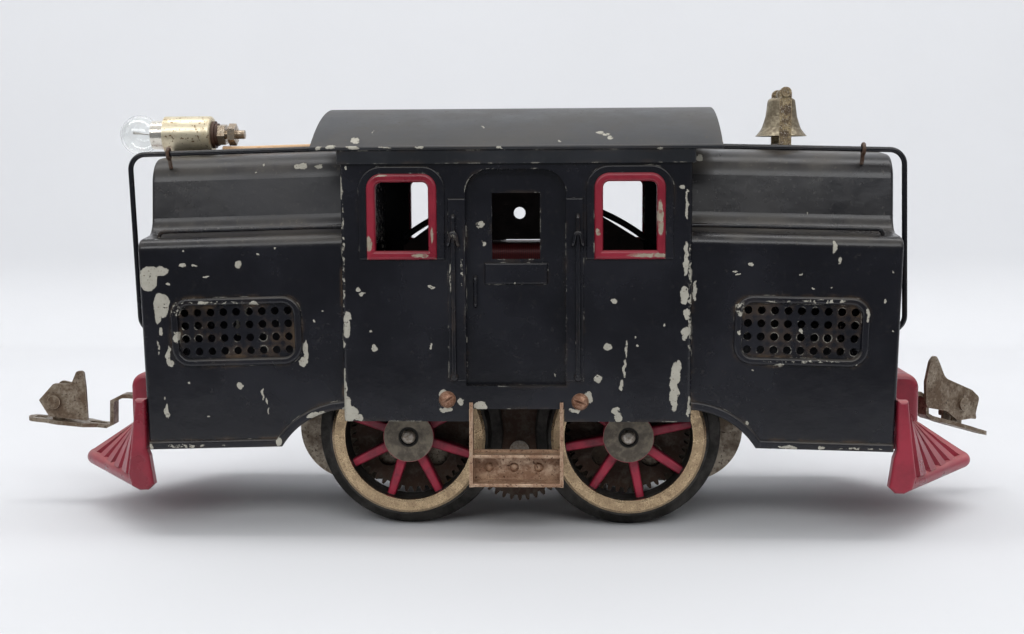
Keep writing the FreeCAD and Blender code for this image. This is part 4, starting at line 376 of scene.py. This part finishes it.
def winding(name, copper, groove_shade_colour, pitch, axis=1):
    """Close-wound wire: parallel turns across one axis, with painted shade in the grooves between turns."""
    s = Shader(name)
    place = s.split(s.place)[axis]
    phase = s.math("FRACT", s.math("MULTIPLY", place, 1.0 / pitch))
    groove = s.math("ABSOLUTE", s.math("SUBTRACT", phase, 0.5))
    shade = s.ramp(groove, 0.30, 0.50)
    tone = s.mix(s.noise(200.0, 4.0), copper, tuple(c * 0.5 for c in copper))
    # painted shade: the grooves between the turns are darkened to the given dark colour
    colour = s.mix(shade, tone, groove_shade_colour)
    normal = s.bump(s.math("SUBTRACT", 1.0, s.math("MULTIPLY", groove, groove)), 0.0002, 0.8)
    return s.finish(colour, 0.42, 0.2, normal)


def fibre(name, base, gloss=0.45):
    """Vulcanised fibre or moulded insulation: mottled, slightly fuzzy."""
    s = Shader(name)
    cloud = s.noise(140.0, 5.0, 0.7)
    strand = s.noise(900.0, 3.0, 0.6, stretch=(0.3, 1.0, 1.0))
    colour = s.mix(s.ramp(cloud, 0.3, 0.7), base, tuple(c * 0.45 for c in base))
    colour = s.mix(s.ramp(strand, 0.62, 0.72), colour, tuple(min(1, c * 2.2 + 0.02) for c in base))
    return s.finish(colour, s.ramp(cloud, 0.3, 0.7, gloss, gloss + 0.2), 0.0, s.bump(strand, 0.00006, 0.8))


def cloth_wire(name, base, dark):
    """Braided cotton insulation on a wire."""
    s = Shader(name)
    x, y, z = s.split(s.place)
    one = s.math("SINE", s.math("MULTIPLY", s.math("ADD", x, z), 9000.0))
    two = s.math("SINE", s.math("MULTIPLY", s.math("SUBTRACT", x, s.math("MULTIPLY", y, 2.0)), 9000.0))
    weave = s.math("MULTIPLY", one, two)
    colour = s.mix(s.ramp(weave, -0.6, 0.6), dark, base)
    colour = s.mix(s.ramp(s.noise(300.0, 3.0), 0.5, 0.75), colour, dark)
    return s.finish(colour, 0.8, 0.0, s.bump(weave, 0.0001, 0.6))


def clear_glass():
    s = Shader("bulb_glass")
    haze = s.noise(220.0, 4.0, 0.6)
    inputs = s.surface.inputs
    inputs["Transmission Weight"].default_value = 1.0
    inputs["IOR"].default_value = 1.45
    return s.finish((0.97, 0.98, 0.97), s.ramp(haze, 0.4, 0.7, 0.0, 0.05), 0.0, s.bump(haze, 0.00005, 0.25))


def laminations(name):
    """Stack of thin iron sheets seen on edge."""
    s = Shader(name)
    _, y, _ = s.split(s.place)
    phase = s.math("FRACT", s.math("MULTIPLY", y, 1.0 / 0.0009))
    seam = s.ramp(s.math("ABSOLUTE", s.math("SUBTRACT", phase, 0.5)), 0.38, 0.48)
    rust = s.ramp(s.noise(150.0, 5.0, 0.7), 0.42, 0.62)
    tone = s.mix(rust, (0.10, 0.095, 0.088), (0.085, 0.042, 0.024))
    colour = s.mix(seam, tone, (0.015, 0.012, 0.010))
    ridge = s.bump(s.math("SUBTRACT", 1.0, seam), 0.0001, 0.8)
    return s.finish(colour, s.ramp(rust, 0.0, 1.0, 0.38, 0.75), 0.5, ridge)


# Bare metals: name, clean colour, dark colour, spread, scale, roughness range, metallic, pit depth and
# speck colour, as old_metal() takes them, then the nodes that wear the metal.
METALS = [
    ("rim_metal", (0.52, 0.385, 0.235), (0.32, 0.22, 0.13), 0.56, 300.0, (0.26, 0.44), 0.85, 0.00006,
     (0.16, 0.10, 0.06),
     ("rims_left", "rims_right")),
    ("rusty_wire", (0.13, 0.10, 0.08), (0.075, 0.035, 0.018), 0.5, 300.0, (0.45, 0.8), 0.5, 0.00012,
     ("stanchions", "bell_clapper")),
    ("screw_metal", (0.42, 0.25, 0.17), (0.15, 0.06, 0.028), 0.52, 420.0, (0.30, 0.6), 0.75, 0.00009,
     ("cab_screws",)),
    ("step_metal", (0.54, 0.39, 0.275), (0.27, 0.155, 0.095), 0.50, 170.0, (0.32, 0.62), 0.62, 0.00008,
     (0.09, 0.04, 0.02),
     ("step_near", "step_far", "step_rivets")),
    ("socket_brass", (0.72, 0.64, 0.47), (0.50, 0.41, 0.26), 0.62, 110.0, (0.36, 0.52), 0.80, 0.00007,
     (0.20, 0.12, 0.05),
     ("lamp_socket",)),
    ("nickel", (0.46, 0.38, 0.29), (0.20, 0.135, 0.085), 0.55, 240.0, (0.20, 0.45), 0.85, 0.00006,
     ("lamp_nuts",)),
    ("bulb_nickel", (0.72, 0.68, 0.60), (0.42, 0.38, 0.32), 0.62, 200.0, (0.18, 0.36), 0.85, 0.00004,
     ("bulb_cap",)),
    ("bell_brass", (0.36, 0.31, 0.215), (0.16, 0.125, 0.080), 0.52, 190.0, (0.34, 0.56), 0.75, 0.00010,
     ("bell",)),
    ("bow_brass", (0.50, 0.39, 0.22), (0.10, 0.065, 0.038), 0.50, 380.0, (0.32, 0.62), 0.7, 0.00012,
     (0.62, 0.58, 0.50),
     ("bell_bracket",)),
    ("hook_bronze", (0.30, 0.25, 0.19), (0.115, 0.075, 0.045), 0.52, 170.0, (0.34, 0.62), 0.7, 0.00010,
     (0.055, 0.035, 0.022),
     ("coupler_left_bar", "coupler_right_bar", "coupler_left_latch", "coupler_right_latch",
      "coupler_pins")),
    ("steel", (0.40, 0.37, 0.33), (0.16, 0.12, 0.085), 0.55, 220.0, (0.28, 0.5), 0.85,
     ("axle_left", "axle_right", "armature_spindle", "motor_spacer_set", "pickup_roller_left",
      "pickup_roller_right")),
    ("gear_steel", (0.070, 0.055, 0.042), (0.050, 0.024, 0.014), 0.48, 260.0, (0.42, 0.75), 0.6, 0.00012,
     ("axle_gear_left", "axle_gear_right", "idler_gear")),
    ("plate_zinc", (0.34, 0.29, 0.225), (0.145, 0.105, 0.072), 0.52, 140.0, (0.42, 0.7), 0.5, 0.00010,
     (0.075, 0.05, 0.034),
     ("motor_plate_near", "motor_plate_far", "mount_brackets")),
    ("arm_brass", (0.50, 0.36, 0.20), (0.22, 0.12, 0.06), 0.52, 200.0,
     ("pickup_arm_left", "pickup_arm_right")),
    ("copper", (0.62, 0.30, 0.17), (0.22, 0.09, 0.045), 0.55, 260.0, (0.2, 0.45), 0.9,
     ("commutator",)),
]


def dress_paint():
    """Painted pieces."""
    cab = enamel("cab_enamel", CAB_CHIPS, CAB_WORN, dust_and_top_light_amount=0.30, grime=0.35)
    left = enamel("hood_left_enamel", HOOD_LEFT_CHIPS, HOOD_LEFT_WORN, dust_and_top_light_amount=0.42, grime=1.0)
    right = enamel("hood_right_enamel", HOOD_RIGHT_CHIPS, HOOD_RIGHT_WORN, dust_and_top_light_amount=0.48, grime=1.0)
    roof = enamel("roof_enamel", ROOF_CHIPS, (), dust_and_top_light_amount=0.30, grime=0.4, base=(0.009, 0.0100, 0.0125),
                  gloss=0.34)
    trim = enamel("trim_enamel", (), (), dust_and_top_light_amount=0.15, grime=0.5, base=(0.0036, 0.0038, 0.0058), gloss=0.20)
    clothe(cab, "cab_shell")
    clothe(left, "hood_left")
    clothe(right, "hood_right")
    clothe(roof, "roof")
    clothe(trim, "door_rails", "door_handles", "handrails", "side_rods")
    clothe(red_enamel("frame_red", FRAME_CHIPS, 0.25), "window_frames")
    clothe(red_enamel("pilot_red", (), 0.85, base=(0.30, 0.016, 0.036)), "pilot_left", "pilot_right")


def dress_metal():
    """Bare metal pieces, from the table."""
    for *look, nodes in METALS:
        clothe(old_metal(*look), *nodes)


def dress_rest():
    """Wheels, glass, fibre, cloth, windings and laminations."""
    clothe(wheel_finish(), "wheel_near_left", "wheel_near_right", "wheel_far_left", "wheel_far_right")
    clothe(clear_glass(), "bulb_globe")
    clothe(fibre("washer_fibre", (0.11, 0.050, 0.030)), "lamp_washers")
    clothe(fibre("board_fibre", (0.045, 0.020, 0.016)), "terminal_board", "brush_holder", "pickup_base")
    clothe(cloth_wire("lamp_wire_cloth", (0.90, 0.64, 0.40), (0.60, 0.34, 0.17)), "lamp_wire")
    clothe(fibre("lead_rubber", (0.012, 0.012, 0.013), 0.35), "field_lead")
    clothe(laminations("laminations"), "field_core", "armature_core")
    clothe(winding("coil_winding", (0.19, 0.020, 0.022), (0.030, 0.006, 0.006), 0.0006, 0), "field_coil")
    clothe(winding("copper_winding", (0.40, 0.15, 0.065), (0.06, 0.02, 0.01), 0.0005), "armature_windings")
    clothe(fibre("carbon", (0.02, 0.02, 0.02), 0.5), "brushes")


# ---------------------------------------------------------------- bulb inside

def wire(name, points, radius, material, body):
    curve = bpy.data.curves.new(name, "CURVE")
    curve.dimensions = "3D"
    curve.bevel_depth = radius
    curve.bevel_resolution = 3
    line = curve.splines.new("NURBS")
    line.points.add(len(points) - 1)
    for point, place in zip(line.points, points):
        point.co = (*place, 1.0)
    line.order_u = 3
    line.use_endpoint_u = True
    curve.materials.append(material)
    piece = bpy.data.objects.new(name, curve)
    bpy.context.scene.collection.objects.link(piece)
    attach(piece, body)
    return piece


def make_filament():
    """Two lead wires and a curled filament in the bulb."""
    low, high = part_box("bulb_globe")
    axis_z = (low.z + high.z) / 2
    tip, root = low.x + 0.0038, high.x - 0.0030
    metal = old_metal("filament_metal", (0.55, 0.52, 0.48), (0.22, 0.20, 0.18), 0.55, 500.0, (0.2, 0.4), 0.9)
    for row in (-1, 1):
        wire(f"filament_post_{'near' if row < 0 else 'far'}",
             [(root, row * 0.0009, axis_z), (root - 0.004, row * 0.0010, axis_z + 0.0002),
              (tip + 0.0022, row * 0.0023, axis_z + 0.0006), (tip + 0.0016, row * 0.0024, axis_z + 0.0007)],
             0.00016, metal, "locomotive")
    loops = []
    for step in range(61):
        share = step / 60
        turn = share * 9 * 2 * math.pi
        loops.append((tip + 0.0016 - 0.0011 * math.sin(share * math.pi) + 0.00035 * math.cos(turn),
                      -0.0024 + 0.0048 * share, axis_z + 0.0007 + 0.00035 * math.sin(turn)))
    wire("filament_coil", loops, 0.00007, metal, "locomotive")


# ---------------------------------------------------------------- stage, light and camera

def plain(name, colour, rough=0.75):
    s = Shader(name)
    cloud = s.noise(9.0, 3.0, 0.5)
    tone = s.mix(cloud, colour, tuple(c * 0.94 for c in colour))
    return s.finish(tone, rough, 0.0, s.bump(s.noise(700.0, 3.0), 0.00008, 0.35), specular=0.25)


def see_through_back(material):
    """Clear from behind, so that a view from the far side isn't blocked by the backdrop."""
    tree = material.node_tree
    clear = tree.nodes.new("ShaderNodeBsdfTransparent")
    side = tree.nodes.new("ShaderNodeNewGeometry")
    blend = tree.nodes.new("ShaderNodeMixShader")
    tree.links.new(side.outputs["Backfacing"], blend.inputs[0])
    tree.links.new(tree.nodes["Principled BSDF"].outputs[0], blend.inputs[1])
    tree.links.new(clear.outputs[0], blend.inputs[2])
    tree.links.new(blend.outputs[0], tree.nodes["Material Output"].inputs["Surface"])


def sheet(name, profile, material):
    """Wide sheet along X that follows a (y, z) profile, its lit side up and to the front."""
    mesh = bpy.data.meshes.new(name)
    shape = bmesh.new()
    rows = [[shape.verts.new((x, y, z)) for y, z in profile] for x in (-2.2, 2.2)]
    for i in range(len(profile) - 1):
        shape.faces.new((rows[0][i], rows[1][i], rows[1][i + 1], rows[0][i + 1]))
    shape.normal_update()
    shape.to_mesh(mesh)
    shape.free()
    for face in mesh.polygons:
        face.use_smooth = True
    mesh.materials.append(material)
    piece = bpy.data.objects.new(name, mesh)
    bpy.context.scene.collection.objects.link(piece)
    return piece


def make_stage():
    """Pale floor that sweeps up into a paler wall, and a front apron that the paint doesn't mirror."""
    pale = plain("backdrop", (0.715, 0.72, 0.735))
    see_through_back(pale)
    profile = [(-0.26, 0.0), (0.40, 0.0)]
    for step in range(1, 13):
        angle = math.pi / 2 * step / 12
        profile.append((0.40 + 0.055 * math.sin(angle), 0.055 * (1 - math.cos(angle))))
    profile += [(0.457, 0.6), (0.46, 1.3)]
    sheet("sweep", profile, pale)
    apron = sheet("apron", [(-1.8, 0.0), (-0.26, 0.0)], pale)
    apron.visible_glossy = False
    apron.visible_diffuse = False


def lamp(name, place, target, size, power, colour=(1.0, 1.0, 1.0)):
    light = bpy.data.lights.new(name, "AREA")
    light.shape = "RECTANGLE"
    light.size, light.size_y = size
    light.energy = power
    light.color = colour
    thing = bpy.data.objects.new(name, light)
    thing.location = place
    thing.rotation_euler = (Vector(target) - Vector(place)).to_track_quat("-Z", "Y").to_euler()
    bpy.context.scene.collection.objects.link(thing)


def make_light():
    lamp("overhead", (-0.05, -0.15, 1.05), (0.0, 0.05, 0.03), (2.1, 1.3), 5.5, (1.0, 0.995, 0.985))
    lamp("window", (0.0, -0.95, 0.72), (0.0, 0.0, 0.08), (1.8, 0.32), 8.0, (0.98, 0.99, 1.0))
    lamp("backdrop_wash", (0.0, 0.02, 0.95), (0.0, 0.46, 0.22), (2.0, 0.25), 7.2, (0.99, 0.99, 1.0))
    lamp("left_fill", (-1.1, -0.35, 0.55), (0.0, 0.0, 0.06), (0.5, 0.5), 0.8, (0.96, 0.98, 1.0))
    lamp("right_fill", (1.1, -0.35, 0.55), (0.0, 0.0, 0.06), (0.5, 0.5), 0.7, (0.96, 0.98, 1.0))
    world = bpy.data.worlds.new("studio")
    world.use_nodes = True
    world.node_tree.nodes["Background"].inputs[0].default_value = (0.80, 0.84, 0.90, 1.0)
    world.node_tree.nodes["Background"].inputs[1].default_value = 0.24
    bpy.context.scene.world = world
    bpy.context.scene.view_settings.view_transform = "Standard"


def make_camera():
    yaw, pitch, roll = 0.0469, 0.102, -0.0056
    ahead = Vector((-math.sin(yaw) * math.cos(pitch), math.cos(yaw) * math.cos(pitch), -math.sin(pitch)))
    level = Vector((math.cos(yaw), math.sin(yaw), 0.0))
    above = level.cross(ahead)
    right = level * math.cos(roll) + above * math.sin(roll)
    up = above * math.cos(roll) - level * math.sin(roll)
    camera = bpy.data.cameras.new("camera")
    camera.sensor_width = 36.0
    camera.lens = 36.0 * 1369.2 / 1024.0
    camera.clip_start = 0.01
    thing = bpy.data.objects.new("camera", camera)
    turn = Matrix((right, up, -ahead)).transposed().to_4x4()
    thing.matrix_world = Matrix.Translation((0.01739, -0.43880, 0.10611)) @ turn
    bpy.context.scene.collection.objects.link(thing)
    bpy.context.scene.camera = thing


make_camera()
dress_paint()
dress_metal()
dress_rest()
make_filament()
make_stage()
make_light()
